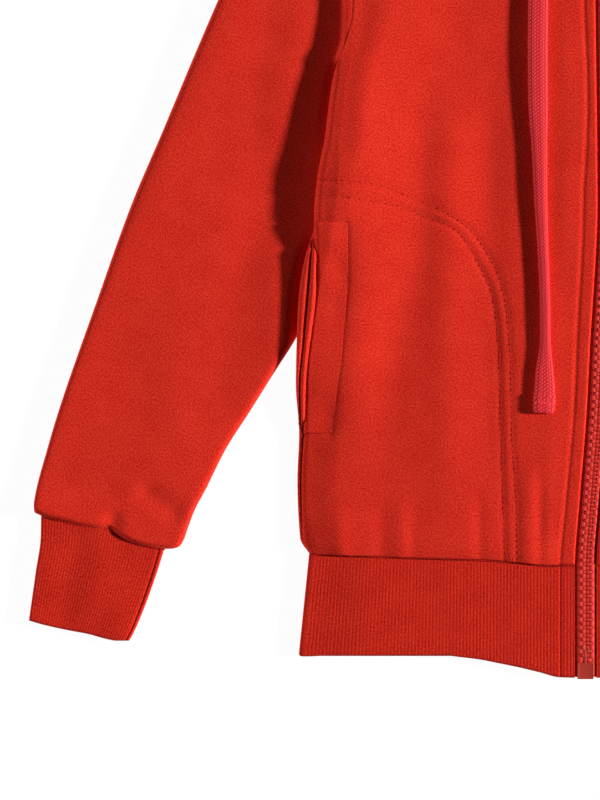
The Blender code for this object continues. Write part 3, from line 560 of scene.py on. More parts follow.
# Drawcord, eyelet to tip: out, up, half width, half thickness, height of its middle above the cloth beneath it
DRAWCORD = [
    (22.0, 475.6, 3.2, 1.9, 2.6),
    (22.0, 474.4, 3.3, 1.9, 4.2),
    (22.1, 471.0, 3.5, 1.9, 5.2),
    (22.4, 465.0, 3.9, 1.9, 4.9),
    (23.2, 456.0, 4.6, 1.9, 3.2),
    (24.4, 444.0, 5.2, 1.8, 2.5),
    (26.0, 420.0, 5.6, 1.8, 2.9),
    (27.0, 392.0, 5.6, 1.8, 3.0),
    (27.3, 365.0, 5.6, 1.8, 3.1),
    (27.6, 337.0, 5.6, 1.8, 3.0),
    (27.4, 309.0, 5.5, 1.8, 2.8),
    (26.6, 282.0, 4.4, 1.9, 2.6),
    (25.8, 254.0, 3.7, 2.0, 2.4),
    (24.6, 226.0, 3.1, 2.0, 2.2),
    (23.5, 198.0, 2.9, 1.9, 2.1),
    (23.3, 176.0, 2.9, 1.7, 1.9),
    (23.5, 166.0, 4.0, 1.6, 1.8),
    (23.7, 158.0, 5.0, 1.6, 1.8),
    (23.7, 149.0, 5.7, 1.6, 1.8),
    (23.9, 143.0, 6.0, 1.5, 1.7),
    (24.2, 137.0, 5.6, 1.5, 1.7),
    (24.3, 135.4, 4.4, 1.1, 1.7),
]
STRAND_ROW, STRAND_STEP, STRAND_DEEP = 1.5, 2.0, 0.32  # width of a row, length and depth of a strand
CORD_RINGS, CORD_ROUND = 700, 64  # points along the cord and round it
EYELET_UP, CORD_DROP = 476, 340  # where the eyelets are, and how far the cords hang down from them
CORD_FOLD, CORD_STITCH = 146.5, 141.8  # where the folded end begins, and where it is stitched: up
CORD_EASE = 12  # points to either side over which a cord evens out the cloth's height


def make_drawcord(name, side):
    route = np.array(DRAWCORD)
    route[:, 0] += LEFT_SHIFT if side > 0 else 0.0
    out, up, half_width, half_thick, above = along(route, np.linspace(0, 1, CORD_RINGS)).T
    if side > 0:
        out = out + 2.2 * np.sin((EYELET_UP - up) / CORD_DROP * 2 * math.pi) * step((EYELET_UP - up) / 60)
    # the end is folded back on itself and stitched: it is thicker there, with a step
    folded = step((CORD_FOLD - up) / 1.6)
    stitched = ridge(up - CORD_STITCH, 0.7)
    half_thick = half_thick + 0.4 * folded - 0.5 * stitched
    above = above + 0.4 * folded
    half_width = half_width + 0.25 * folded - 0.3 * stitched
    out = out - 0.5 * stitched
    base = np.where(up > ZIP_TOP + 8, HOOD_TOP, front_top(side, side * out, np.minimum(up, ZIP_TOP)))
    window = 2 * CORD_EASE + 1
    base = np.convolve(np.pad(base, CORD_EASE, mode="edge"), np.ones(window) / window, mode="valid")
    centre = np.stack([side * out, up, base + above], axis=-1)
    heading = np.gradient(centre, axis=0)
    heading /= np.linalg.norm(heading, axis=1)[:, None]
    across = np.array([1.0, 0.0, 0.0]) - heading * heading[:, :1]
    across /= np.linalg.norm(across, axis=1)[:, None]
    normal = np.cross(heading, across)
    normal *= np.sign(normal[:, 2:])
    run = distances(centre)[:, None]
    angle = np.linspace(0, 2 * math.pi, CORD_ROUND, endpoint=False)
    flat = np.sign(np.cos(angle)) * np.abs(np.cos(angle)) ** 0.85
    thick = np.sign(np.sin(angle)) * np.abs(np.sin(angle)) ** 0.5
    # strands: how far across the braid, in rows of one strand's width
    row_at = (flat * 5.5 / STRAND_ROW)[None, :] + 50.5 + 0 * run
    row = np.floor(row_at)
    slant = np.where(row % 2 > 0, 1.0, -1.0)
    inside = row_at - row - 0.5
    phase = run / STRAND_STEP + slant * inside * 0.8 + 0.5 * (row % 2)
    strand_relief_and_painted_light = (0.5 + 0.5 * np.cos(2 * math.pi * phase)) * np.cos(math.pi * inside) ** 0.6
    press = STRAND_DEEP * (strand_relief_and_painted_light - 0.6)
    grid = (
        centre[:, None]
        + across[:, None] * (flat[None, :] * (half_width[:, None] + press))[..., None]
        + normal[:, None] * (thick[None, :] * (half_thick[:, None] + press))[..., None]
    )
    form = bmesh.new()
    bmesh.ops.create_grid(form, x_segments=CORD_ROUND, y_segments=CORD_RINGS - 1, size=0.5)
    metres = placed(grid)
    # each point also keeps its strand value for the colour: painted highlight on the crests, painted shade in
    # the gaps
    tone = form.verts.layers.float.new("strand_relief_and_painted_light")
    for vertex in form.verts:
        i = round((vertex.co.x + 0.5) * CORD_ROUND) % CORD_ROUND
        j = round((vertex.co.y + 0.5) * (CORD_RINGS - 1))
        vertex.co = metres[j, i]
        vertex[tone] = strand_relief_and_painted_light[j, i]
    bmesh.ops.remove_doubles(form, verts=form.verts, dist=WELD)
    bmesh.ops.holes_fill(form, edges=[e for e in form.edges if e.is_boundary], sides=0)
    bmesh.ops.recalc_face_normals(form, faces=form.faces)
    made = mesh_object(name, form, braid)
    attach(made, "garment")
    print(name, "length", float(run[-1, 0].round(1)), "mm")
    return made


for wearer, side in SIDES:
    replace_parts(make_drawcord(f"braided_drawcord_{wearer}", side), f"drawcord_{wearer}")

# %% [markdown]
# ## Body panels
# Each front is filled in between four edges: hem, shoulder with neck, side and zip. Its rows and columns are
# close where something small happens, at the side, at the zip and above the hem, and wide elsewhere. The back
# lies on the floor, and its outer side faces down.

# %% Body edges
UNDERARM_SHARE = 0.618  # the share of a panel's side edge that lies below the underarm
SHOULDER_SHARE = 0.42  # the share of a front's upper edge that is shoulder seam
NECK_START = 0.21  # the share of the back's upper edge before the neck
SIDE_GAP = 0.15  # half the clearance between front and back at the side


def side_edge(table):
    """A side edge from hem to shoulder: a function of its share, which gives out and up."""
    below = [(out, up) for up, out in table]
    above = [(out, up) for up, out in ARMHOLE]
    return lambda v: joined((below, above), (UNDERARM_SHARE,), v)


def dense(stops, counts):
    """Stations from 0 to 1: counts[i] equal steps between stops[i] and stops[i + 1]."""
    parts = [np.linspace(a, b, n, endpoint=False) for a, b, n in zip(stops, stops[1:], counts)]
    return np.concatenate([*parts, [stops[-1]]])


def front_plan(side, u, v):
    slot = [(zip_x(up) + side * ZIP_SLOT, up) for up in np.linspace(51.2, ZIP_TOP, 40)]
    hem = np.vstack([mirrored(FRONT_HEM, side) + (0, SEAM), [slot[0]]])
    neck = np.vstack([mirrored(FRONT_NECK, side), [slot[-1]]])
    shoulder = mirrored([SHOULDER, NECK_SIDE], side)
    edge = side_edge(FRONT_SIDE)
    return patch(
        hem, lambda u: joined((shoulder, neck), (SHOULDER_SHARE,), u),
        lambda v: mirrored(edge(v), side) - (SIDE_GAP * side, 0), slot, u, v,
    )


# %% Stitch lines of the pocket bag
# Welt of each pocket, upper to lower end: up, out at the stitched edge
WELT = [(241, 133.1), (215, 132.8), (190, 134.4), (170, 136.1), (148, 138.9), (131, 141.1), (124, 141.7)]
# Two rows of stitches that hold the pocket bag, from the side seam round to the hem: out, up
POCKET_ROWS = [
    [(149.4, 265), (141.7, 264.4), (120.6, 262.8), (95.6, 253.9), (81.7, 248.3), (66, 238.0), (55.5, 224),
     (48, 208), (44.5, 190), (42.6, 165), (41.7, 123.9), (40.5, 104), (39.4, 87.2), (38.6, 53.5)],
    [(149.4, 256.7), (139.4, 255.6), (128.3, 254.4), (117.8, 252.8), (103.9, 250), (92.8, 245.6), (73.3, 237.2),
     (61, 219.5), (52.2, 198.3), (48.9, 165), (47.8, 123.9), (46.7, 87.2), (45.6, 53.5)],
]


def near_line(points, out, up):
    """Distance from each point of the plan to a line through these points, and on which side it lies."""
    line = along(points, np.linspace(0, 1, 90))
    best, best_side = np.full(out.shape, 1e9), np.zeros(out.shape)
    for (ax, ay), (bx, by) in zip(line, line[1:]):
        dx, dy = bx - ax, by - ay
        share = np.clip(((out - ax) * dx + (up - ay) * dy) / (dx * dx + dy * dy), 0, 1)
        away = np.hypot(out - ax - share * dx, up - ay - share * dy)
        closer = away < best
        best = np.where(closer, away, best)
        best_side = np.where(closer, np.sign((out - ax) * dy - (up - ay) * dx), best_side)
    return best, best_side


def pocket_relief(out, up):
    """Stitched rows pull the cloth down, and the pocket bag beneath lifts what lies inside them."""
    relief = np.zeros_like(out)
    for points in POCKET_ROWS:
        away, _ = near_line(points, out, up)
        relief -= 0.52 * ridge(away, 1.2)
    away, inside = near_line(POCKET_ROWS[1], out, up)
    # the welt's seam is a narrow groove, with a shallow valley beside it
    from_seam = column(WELT, up) - out
    beside = step((up - 121) / 4) * step((244 - up) / 4)
    relief -= beside * 0.55 * ridge(from_seam, np.where(from_seam > 0, 4.6, 2.0))
    relief -= beside * 0.3 * ridge(from_seam - 0.4, 0.9)
    # beneath the welt the cloth lies deeper, so that only the welt shows there
    relief -= beside * 0.9 * step((0.3 - from_seam) / 1.5)
    return relief + 0.35 * step((away * inside + 1) / 4)


# %% Fronts
def front_surface(side, x, up):
    """Height of the finished front with all its sewn relief."""
    return front_top(side, x, up) + pocket_relief(side * x, up)


def make_front(name, side):
    u = dense([0, 0.004, 0.02, 0.06, 0.15, 0.60, 0.84, 1.0], [3, 5, 6, 20, 30, 22, 38])
    v = dense([0, 0.004, 0.14, 0.56, 0.62, 0.97, 1.0], [3, 44, 98, 14, 40, 9])
    plan = front_plan(side, u, v)
    x, up = plan[..., 0], plan[..., 1]
    top = front_surface(side, x, up)
    across = np.abs(x - x[:, :1])
    from_zip = np.abs(x - x[:, -1:])
    from_hem = up - up[:1]
    # the side is a fat fold as high as the body; at the armhole the cloth only dips into the seam
    deep = np.clip((UNDERARM[1] - up) / 12, 0, 1)
    rise = column(SIDE_RISE, up)
    fold = roll(across, 3.6, 3.2 + rise) * deep + roll(across, 1.5, 0.8) * step((up - ARMHOLE_DIPS) / 10)
    top = top - fold - roll(from_zip, 0.7, 0.8) - roll(from_hem, 1.6, 0.9)
    return cloth(name, raised(plan, top), fleece)


for wearer, side in SIDES:
    panel = make_front(f"fleece_front_{wearer}", side)
    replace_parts(panel, f"front_{wearer}")

# %% Topstitching
def block_matrix(x, up, z, size, turn=0.0):
    """Where a shape of size 1 goes to become one of this size, in table millimetres."""
    place = Matrix.Translation(Vector(placed([(x, up, z)])[0]))
    return place @ Matrix.Rotation(turn, 4, "Z") @ Matrix.Diagonal((*(np.array(size) * MM), 1.0))


def sew(name, lines, pitch=3.1, size=(2.3, 0.72, 0.55), finish=thread):
    """Stitches in rows: each is a small rounded thread, longer than wide, half sunk in the cloth."""
    form = bmesh.new()
    for line in lines:
        run = distances(line)
        count = int(run[-1] / pitch)
        at = (np.arange(count) + 0.5) * run[-1] / count
        middle = np.stack([np.interp(at, run, line[:, i]) for i in range(3)], -1)
        ahead = np.stack([np.interp(at + 0.5, run, line[:, i]) for i in range(3)], -1)
        for (x, up, z), (x2, up2, _) in zip(middle, ahead):
            place = block_matrix(x, up, z, np.array(size) / 2, math.atan2(up2 - up, x2 - x))
            bmesh.ops.create_uvsphere(form, u_segments=8, v_segments=4, radius=1.0, matrix=place)
    made = mesh_object(name, form, finish)
    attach(made, "garment")
    print(name, len(made.data.polygons), "faces")


def on_front(side, points, above=0.05):
    """A line on the front's surface through these points, given as out and up."""
    plan = mirrored(along(points, np.linspace(0, 1, 200)), side)
    return raised(plan, front_surface(side, plan[:, 0], plan[:, 1]) + above)


for wearer, side in SIDES:
    sew(f"pocket_topstitching_{wearer}", [on_front(side, points) for points in POCKET_ROWS])

# %% Back
def make_back():
    u = dense([0, 0.02, 0.06, 0.94, 0.98, 1], [6, 4, 44, 4, 6])
    v = dense([0, 0.02, 1], [4, 72])
    edge = side_edge(BACK_SIDE)
    neck = np.vstack([mirrored(BACK_NECK, -1), mirrored(BACK_NECK, 1)[-2::-1]])
    left_shoulder = mirrored([BACK_NECK[0], SHOULDER], 1)
    right_shoulder = mirrored([SHOULDER, BACK_NECK[0]], -1)
    hem = [(-HEM_SIDE[0], HEM_SIDE[1]), (0, HEM_SIDE[1]), HEM_SIDE]
    plan = patch(
        hem, lambda u: joined((right_shoulder, neck, left_shoulder), (NECK_START, 1 - NECK_START), u),
        lambda v: mirrored(edge(v), -1) + (SIDE_GAP, 0), lambda v: mirrored(edge(v), 1) - (SIDE_GAP, 0), u, v,
    )
    x, up = plan[..., 0], plan[..., 1]
    from_side = np.minimum(np.abs(x - x[:, :1]), np.abs(x - x[:, -1:]))
    low = lift(np.abs(x), up) + 0.15 + roll(from_side, 3.4, 3.0)
    return cloth("fleece_back", raised(plan, low), fleece, normal_up=False)


back = make_back()
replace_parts(back, "back")

# %% [markdown]
# ## Sleeves
# A sleeve is one panel closed into a tube and pressed flat. Its ring runs round both layers; the rows follow it
# from the armhole to the hem, which is gathered into the narrower cuff and rolls over its seam.

# %% Sleeves
# Inner edge of the sleeve, underarm to hem; the body covers its first eight points: out, up
SLEEVE_INNER = [
    (135.4, 331.0), (135.6, 326.0), (136.2, 314.5), (136.2, 300), (135.6, 280), (135.9, 259), (140.5, 232),
    (148.2, 204), (161.7, 177), (174.4, 157), (187.8, 135.6), (200.6, 115.6), (212.3, 92.2), (217.9, 81.7),
    (221.8, 71.4), (224.2, 64.7), (226.8, 61.2), (230.6, 60.1), (233.9, 60.0),
]
# Outer edge of the sleeve, shoulder to hem: out, up
SLEEVE_OUTER = [
    (145.3, 498.2), (160, 468), (182, 417), (205, 365), (220, 330), (236, 291.7), (252.8, 252.2),
    (272.2, 198.3), (293.3, 137.8), (300.6, 113.3), (306.2, 92.2), (307.4, 84), (307.3, 82.0),
]
# Sleeve's hem over the cuff, inner to outer edge: out, up
SLEEVE_HEM = [
    (233.9, 60.0), (241.1, 60.6), (251.1, 63.0), (257.8, 66.1), (263.4, 69.2), (266.5, 71.6), (269.2, 71.2),
    (281.3, 72.8), (289.4, 74.8), (298.9, 77.2), (303.9, 78.9), (306.0, 79.8), (307.0, 80.7), (307.3, 82.0),
]
CUFF_TOP = [*SLEEVE_HEM[:-4], (303.9, 79.4)]  # the part of it that is sewn to the cuff
# Folds of each sleeve: out and up at one end, out and up at the other, half width, height
SLEEVE_FOLDS = [
    (222, 76, 252, 96, 6, -1.3),
    (266, 60, 262, 84, 5, -1.5),
    (180, 400, 262, 205, 16, 0.9),
    (236, 190, 226, 110, 14, 0.6),
]
TUBE_FADE = 8
ARMHOLE_TUCK = 1.3  # how far the sleeve reaches beneath the body at the armhole


def around(across):
    """Places once round a flattened tube: how far across each is, and 1 on the upper face, -1 below."""
    count = len(across)
    return np.concatenate([across, across[-2:0:-1]]), np.concatenate([np.ones(count), -np.ones(count - 2)])


def tube_plan(start, end, inner, outer, t, across):
    """Plan points of a flattened tube between its two edges."""
    order = np.argsort(across, kind="stable")
    plan = np.empty((len(t), len(across), 2))
    plan[:, order] = patch(start, end, inner, outer, across[order], t, TUBE_FADE)
    return plan


def tube_crown(across, face, sharp):
    """How full a flattened tube is: 1, but for its rounded edges, which are narrower where sharp is larger."""
    bulge = np.clip(1 - np.abs(2 * across - 1) ** sharp, 0, 1)
    return np.where(face > 0, np.sqrt(bulge), bulge**0.25)


# Rise of the sleeve towards the body, which lies on it: up, distance where it starts, where it ends, height
FLANK = [
    (100, 60, 10, 0), (160, 46, 10, 2.9), (185, 42, 9, 3.4), (200, 40, 10, 3.2), (220, 36, 12, 2.6),
    (232, 36, 14, 1.5), (245, 36, 17, 0.7), (265, 38, 18, 0.5), (290, 42, 22, 1.2), (309, 44, 22, 1.6),
    (351, 48, 25, 1.6), (400, 62, 25, 0.8), (440, 70, 25, 0),
]
# Width of the sleeve beside the armhole seam that stays as high as the body: up, width
LEDGE_WIDTH = [(328, 0), (334, 0), (340, 0.5), (348, 1.7), (359, 2.9), (370, 3.4), (498, 3.6)]


def sleeve_surface(out, up):
    """Lower and upper height of the sleeve. Beside the armhole it is as high as the body; then it lies flat."""
    aside = out - column(ARMHOLE, up)
    ledge = (1 - step((aside - column(LEDGE_WIDTH, up)) / 2.4)) * step((up - 330) / 4)
    high_end = column(TUCK, up, 1) + column(SIDE_RISE, up) + STACK + 0.1 - 0.07 * np.clip(aside, 0, 7)
    away = np.maximum(out - body_edge(up), 0.0)
    from_hem = np.maximum(up - column(SLEEVE_HEM, out), 0)
    flat = 5.4 + 0.9 * step((away - 15) / 35) + 1.3 * step((away - 10) / 60) * step((from_hem - 2) / 40)
    flat = flat + folds(SLEEVE_FOLDS, out, up) * step(away / 40)
    far, near = column(FLANK, up, 1), column(FLANK, up, 2)
    flat = flat + column(FLANK, up, 3) * step((far - away) / (far - near))
    under_body = step((body_edge(up) + 5 - out) / 4) * step((331 - up) / 5)
    flat = flat + (np.minimum(flat, np.maximum(column(TUCK, up, 1) - 0.5, 4.8)) - flat) * under_body
    low = lift(out, up) * ledge
    return low, np.maximum(flat + (high_end - flat) * ledge, low + 4.6), from_hem, away


def make_sleeve(name, side):
    t = dense([0, 0.012, 0.06, 0.85, 0.97, 1], [7, 9, 74, 24, 12])
    armhole = [(out - ARMHOLE_TUCK, up) for up, out in ARMHOLE]
    armhole[0], armhole[-1] = SLEEVE_INNER[0], SLEEVE_OUTER[0]
    across, face = around(0.5 - 0.5 * np.cos(np.linspace(0, math.pi, 68)))
    plan = tube_plan(armhole, SLEEVE_HEM, lambda v: along(SLEEVE_INNER, v**1.5), SLEEVE_OUTER, t, across)
    out, up = plan[..., 0], plan[..., 1]
    low, high, from_hem, away = sleeve_surface(out, up)
    high = high + 0.3 * swell(side * out * 0.7, up * 0.7, 23, 60) * step(away / 40)
    seam = np.clip(out - column(ARMHOLE, up) + ARMHOLE_TUCK, 0, 9)
    high = high - roll(seam, 2.2, 0.9) * step((up - ARMHOLE_DIPS) / 10)
    high = high + 1.6 * step(from_hem / 3) * step((24 - from_hem) / 22) - roll(from_hem, 1.7, 0.8)
    crown = tube_crown(across, face, 36)
    middle = low + 0.42 * (high - low)
    z = np.where(face > 0, middle + (high - middle) * crown, middle - (middle - low) * crown)
    points = np.stack([side * out, up, z], axis=-1)
    # the grain runs along the sleeve
    (top_out, top_up), (low_out, low_up) = SLEEVE_OUTER[1], SLEEVE_OUTER[8]
    lean = math.atan2(low_out - top_out, top_up - low_up) * side
    x, y = points[..., 0] * MM, points[..., 1] * MM
    grain = np.stack([x * math.cos(lean) + y * math.sin(lean), y * math.cos(lean) - x * math.sin(lean)], -1)
    return cloth(name, points, fleece, grain, ring=True)


for wearer, side in SIDES:
    tube = make_sleeve(f"fleece_sleeve_{wearer}", side)
    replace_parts(tube, f"sleeve_{wearer}")

# %% [markdown]
# ## Ribbed cuffs and waistband
# Rib is knitted with raised columns that run across the band's length. They are modelled, not painted, because
# the low light makes each one cast its own shade.

# %% Rib profile
RIB_PITCH = 1.85
BAND_SIDE, BAND_ROUND = 151.6, 2.6  # where the waistband turns to the back, and its radius there
BAND_FLARE = 0.04  # how much wider it is at its lower edge
CUFF_RIBS = 41
POINTS_A_RIB = 6
# Waistband's lower edge, side to zip: out, up
BAND_FOOT = [
    (160, 0.6), (150, 0.2), (138, 0.8), (80, 0.9), (68, -0.3), (59.4, -1.4), (48.3, -3.6), (37.2, -5.9),
    (26.1, -8.6), (15, -11.3), (0, -11.7),
]
# Lower edge of the cuff, inner to outer edge: out, up
CUFF_FOOT = [
    (254.4, 9.0), (261.2, 9.0), (268, 10.2), (277.3, 12.7), (289.4, 15.0), (301.5, 17.7), (310.2, 20.2),
]
# Inner and outer edges of the cuff, sleeve to foot: out, up
CUFF_INNER = [(234.4, 61.5), (238.4, 48.5), (247.6, 23.1), (252.6, 12.0), (254.4, 9.0)]
CUFF_OUTER = [(303.4, 80.2), (303.6, 67.0), (306.4, 47.2), (310.2, 20.2)]
RIB_DEEP, CUFF_RIB_DEEP = 0.18, 0.13
RIB_MIDDLE = 0.6  # the rib profile's mean height
CUFF_MIDDLE = 2.4  # height of the plane between a cuff's two faces


def rib_profile(ribs):
    """Relief of a rib at a count of ribs: a rounded column and a narrow groove, from 0 to 1."""
    return np.abs(np.cos(math.pi * ribs)) ** 0.7


def band_rise(from_side):
    """How much higher the waistband's front lies at this distance from the side than at the side."""
    return 1.9 * step(from_side / 34)


# %% Cuffs
def make_cuff(name, side):
    t = dense([0, 0.05, 0.9, 1], [4, 14, 8])
    across, face = around(np.linspace(0, 1, CUFF_RIBS * POINTS_A_RIB + 1))
    plan = tube_plan(np.array(CUFF_TOP) + (0, 1.2), CUFF_FOOT, CUFF_INNER, CUFF_OUTER, t, across)
    out, up = plan[..., 0], plan[..., 1]
    high = 5.4 + 0.5 * swell(side * out, up, 31, 30) - 0.4 * ridge(across * 56 - 2.2, 0.6)
    crown = tube_crown(across, face, 96)
    foot = roll((1 - t) * 52, 1.3, 1.3)[:, None]
    z = np.where(face > 0, CUFF_MIDDLE + (high - CUFF_MIDDLE) * crown - foot, CUFF_MIDDLE - 2.3 * crown)
    z = z + np.where(face > 0, CUFF_RIB_DEEP * (rib_profile(across * CUFF_RIBS) - RIB_MIDDLE), 0) * crown
    points = np.stack([side * out, up, z], axis=-1)
    grain = np.stack([across[None, :] * 0.065 + 0 * out, up * MM], -1)
    return cloth(name, points, rib_knit, grain, wall=1.8, ring=True)


for wearer, side in SIDES:
    tube = make_cuff(f"rib_cuff_{wearer}", side)
    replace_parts(tube, f"cuff_{wearer}")

# %% Waistband
def make_waistband():
    path = []  # once round the band, from the zip to the zip: x, degrees turned from the front to the back
    for side in (-1, 1):
        start = float(zip_x(0.0)) + side * ZIP_SLOT
        reach = side * BAND_SIDE - start
        steps = int(round(abs(reach) / RIB_PITCH * POINTS_A_RIB))
        leg = [(start + reach * i / steps, 0.0) for i in range(steps + 1)]
        leg += [(side * BAND_SIDE, a) for a in np.linspace(0, 180, 14)[1:-1]]
        under_steps = int(round(BAND_SIDE / RIB_PITCH * 4))
        leg += [(side * BAND_SIDE * (1 - i / under_steps), 180.0) for i in range(under_steps + 1)]
        path += leg if side < 0 else leg[-2::-1]
    x, turned = np.array(path).T
    a = np.radians(turned)
    side = np.sign(x)
    front_z = 5.2 + band_rise(BAND_SIDE - np.abs(x))
    normal = np.stack([side * np.sin(a), np.cos(a)], -1)
    base_x = x + BAND_ROUND * side * np.abs(np.sin(a)) ** 0.6
    turn_z = BAND_ROUND + BAND_ROUND * np.sign(np.cos(a)) * np.abs(np.cos(a)) ** 0.6
    base_z = np.where(turned > 0, turn_z, front_z)
    run = np.concatenate([[0], np.cumsum(np.hypot(np.diff(base_x), np.diff(base_z)))])
    ribs = run / RIB_PITCH
    top_up = np.where(turned < 90, np.minimum(column(FRONT_HEM, np.abs(x)), HEM_SIDE[1]), HEM_SIDE[1]) + 0.6
    foot_up = np.where(turned < 90, column(BAND_FOOT, np.abs(x)), 0.4)
    w = dense([0, 0.03, 0.93, 1], [3, 7, 4])[:, None]
    up = foot_up + (top_up - foot_up) * w
    lean = 1 + BAND_FLARE * (np.abs(x) / HEM_SIDE[0]) ** 2 * (1 - w)
    from_foot, from_top = up - foot_up, top_up - up
    sink = roll(from_foot, 1.6, 1.6) + roll(from_top, 1.2, 0.55)
    # a facing at each end of the band is not gathered: its seam is a deeper groove
    from_zip = np.abs(x - zip_x(0.0)) - ZIP_SLOT
    facing = 0.28 * ridge(from_zip - 8.0, 0.8) * (turned == 0)
    relief = RIB_DEEP * (rib_profile(ribs) - RIB_MIDDLE) * step((from_top - 0.3) / 1.2) - sink - facing
    relief = np.where(turned > 150, np.minimum(relief, 0.0), relief)
    points = np.stack([
        (base_x + normal[:, 0] * relief) * lean,
        up + 0 * relief,
        base_z + normal[:, 1] * relief + np.where(turned > 150, 0.15, 0.0),
    ], axis=-1)
    grain = np.stack([run * MM + 0 * relief, up * MM], -1)
    return cloth("rib_waistband", points, rib_knit, grain, wall=1.9, normal_up=False)


band = make_waistband()
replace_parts(band, "waistband")

# %% Overlocked seams, stitched in thread painted dark as painted shade
def seam_line(table, height):
    """The seam's line just below the cloth's edge; height is that of the rib there, by distance out."""
    points = along(table, np.linspace(0, 1, 240))
    return raised(points - (0, 0.35), height(points[:, 0]))


for wearer, side in SIDES:
    band_seam = seam_line([*FRONT_HEM, (6.5, 50.9)], lambda out: 5.3 + band_rise(154.2 - out))
    cuff_seam = seam_line(CUFF_TOP, lambda out: 5.4 + 0 * out)
    for name, line in (("waistband", band_seam), ("cuff", cuff_seam)):
        # the stitches are painted dark to stand for the shade along the seam where the cloth meets the rib
        sew(f"{name}_seam_{wearer}", [line * (side, 1, 1)], RIB_PITCH, (1.4, 0.6, 0.55), seam_shade_thread)

# %% [markdown]
# ## Hood
# The hood is two halves sewn along the middle. Laid flat, it has one layer on the floor, folded at the
# silhouette, and one on top that ends at the face edge, where the hem turns round the drawcord.

# %% Hood
# Hood: spine of its back layer, silhouette and face edge, neck to crown: out, up
HOOD_SPINE = [(-0.1, 505.0), (-0.1, 600), (-0.1, 690)]
HOOD_OUTLINE = [
    (77.7, 521.6), (80.2, 536), (92, 559), (111, 594), (123, 634), (123, 680), (101, 735), (57, 769),
    (-0.1, 779),
]
HOOD_FACE = [(13, 490), (38, 540), (54, 590), (50, 632), (30, 656), (-0.1, 664)]


def make_hood(name, side):
    t = dense([0, 0.02, 0.97, 1], [3, 100, 8])
    zip_corner = (side * (float(zip_x(ZIP_TOP)) + side * (ZIP_SLOT + SEAM)), ZIP_TOP + SEAM)
    neck = [HOOD_OUTLINE[0], *((out - SEAM, up + 2 * SEAM) for out, up in FRONT_NECK[1:]), zip_corner]
    back_neck = [HOOD_SPINE[0], *((out, up - 0.8) for out, up in BACK_NECK[-2:0:-1]), HOOD_OUTLINE[0]]
    under, over = dense([0, 0.9, 1], [20, 6]), dense([0, 0.1, 0.72, 0.97, 1], [10, 34, 22, 6])
    crown = HOOD_OUTLINE[-1]
    lower = patch(back_neck, [HOOD_SPINE[-1], crown], HOOD_SPINE, HOOD_OUTLINE, under, t)
    upper = patch(neck, [crown, HOOD_FACE[-1]], HOOD_OUTLINE, [zip_corner, *HOOD_FACE], over, t, TUBE_FADE)
    from_spine, over_from = (np.stack([distances(row) for row in grid]) for grid in (lower, upper))
    under_from = from_spine[:, -1:] - from_spine
    from_face = over_from[:, -1:] - over_from
    low_z = 0.15 + roll(under_from, 5.0, 3.6)
    low_z = np.maximum(low_z, 2.7 * (1 - step(t / 0.02))[:, None])
    uneven = 0.5 * swell(upper[..., 0] * side, upper[..., 1], 41, 70)
    top = HOOD_TOP + uneven * step(over_from / 25) * step(from_face / 20)
    top = top - 0.45 * ridge(from_face - 19, 1.1) - roll(from_face, 2.0, 1.6)
    high_z = top - roll(over_from, 6.0, 4.4)
    plan = np.concatenate([lower[:, :-1], upper], axis=1) * (side, 1.0)
    z = np.concatenate([low_z[:, :-1], high_z], axis=1)
    return cloth(name, raised(plan, z), fleece, normal_up=False)


for wearer, side in SIDES:
    half = make_hood(f"fleece_hood_{wearer}", side)
    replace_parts(half, f"hood_{wearer}")

# %% [markdown]
# ## Pockets
# The welt is a folded strip sewn on beside the side seam; the facing behind it shows in the pocket's mouth.

# %% Pockets
# Facing that shows in the pocket's mouth, upper to lower end: up, near edge out, far edge out
POCKET_FACING = [
    (226, 152.6, 153.4), (205, 152.6, 155.0), (174, 155.7, 158.0), (150, 158.2, 160.2), (134, 158.8, 159.8),
]
WELT_LOW, WELT_HIGH = 124.0, 241.5
FACING_HIGH, FACING_LENGTH = 231, 105


def strip(up, near, far, a):
    """Plan of a narrow strip: out and up of points at these shares of the way from near to far."""
    out = near + (far - near) * a[None, :]
    return out, np.broadcast_to(up[:, None], out.shape)


def arch(share):
    """A half circle's height over its width, from 0 up to 1 and back."""
    return np.sqrt(np.clip(1 - (2 * share - 1) ** 2, 0, 1))


def make_welt(name, side):
    w = dense([0, 0.03, 0.97, 1], [4, 90, 4])
    a = dense([0, 0.12, 0.85, 1], [8, 14, 8])
    up = WELT_LOW + (WELT_HIGH - WELT_LOW) * w
    near = column(WELT, up)[:, None]
    far = (front_edge(up) - 0.1)[:, None]
    out, ups = strip(up, near, far, a)
    base = front_top(side, side * out, ups)
    from_near, from_far = out - near, far - out
    from_end = np.minimum(ups - WELT_LOW, WELT_HIGH - ups)
    rise = -0.8 + 1.22 * step(from_near / 13) - roll(from_far, 3.0, 3.4) - roll(from_end, 0.8, 0.45)
    rise = rise + 0.15 * swell(side * out, ups, 51, 22)
    points = np.stack([side * out, ups, base + rise], axis=-1)
    return cloth(name, points, fleece, wall=1.8)


def make_facing(name, side):
    """Two rounded lips beside the welt's fold: the facing's edge, and the pocket bag's edge behind it."""
    w = np.linspace(0, 1, 90)
    up = FACING_HIGH - FACING_LENGTH * w
    near = (column(POCKET_FACING, up, 1) - 2.6)[:, None]
    split = (column(POCKET_FACING, up, 2) - 0.4)[:, None]
    far = (column(BACK_SIDE, up) - 0.3)[:, None]
    out, ups = strip(up, near, far, np.linspace(0, 1, 33))
    inner = np.clip((out - near) / (split - near), 0, 1)
    outer = np.clip((out - split) / np.maximum(far - split, 0.6), 0, 1)
    crown = 3.2 * arch(inner) + 2.4 * arch(outer)
    crown = crown * step(np.minimum(w, 1 - w) / 0.08)[:, None]
    points = np.stack([side * out, ups, lift(out, ups) + column(SIDE_RISE, ups) + 3.2 + crown], -1)
    return cloth(name, points, fleece, wall=0.8)


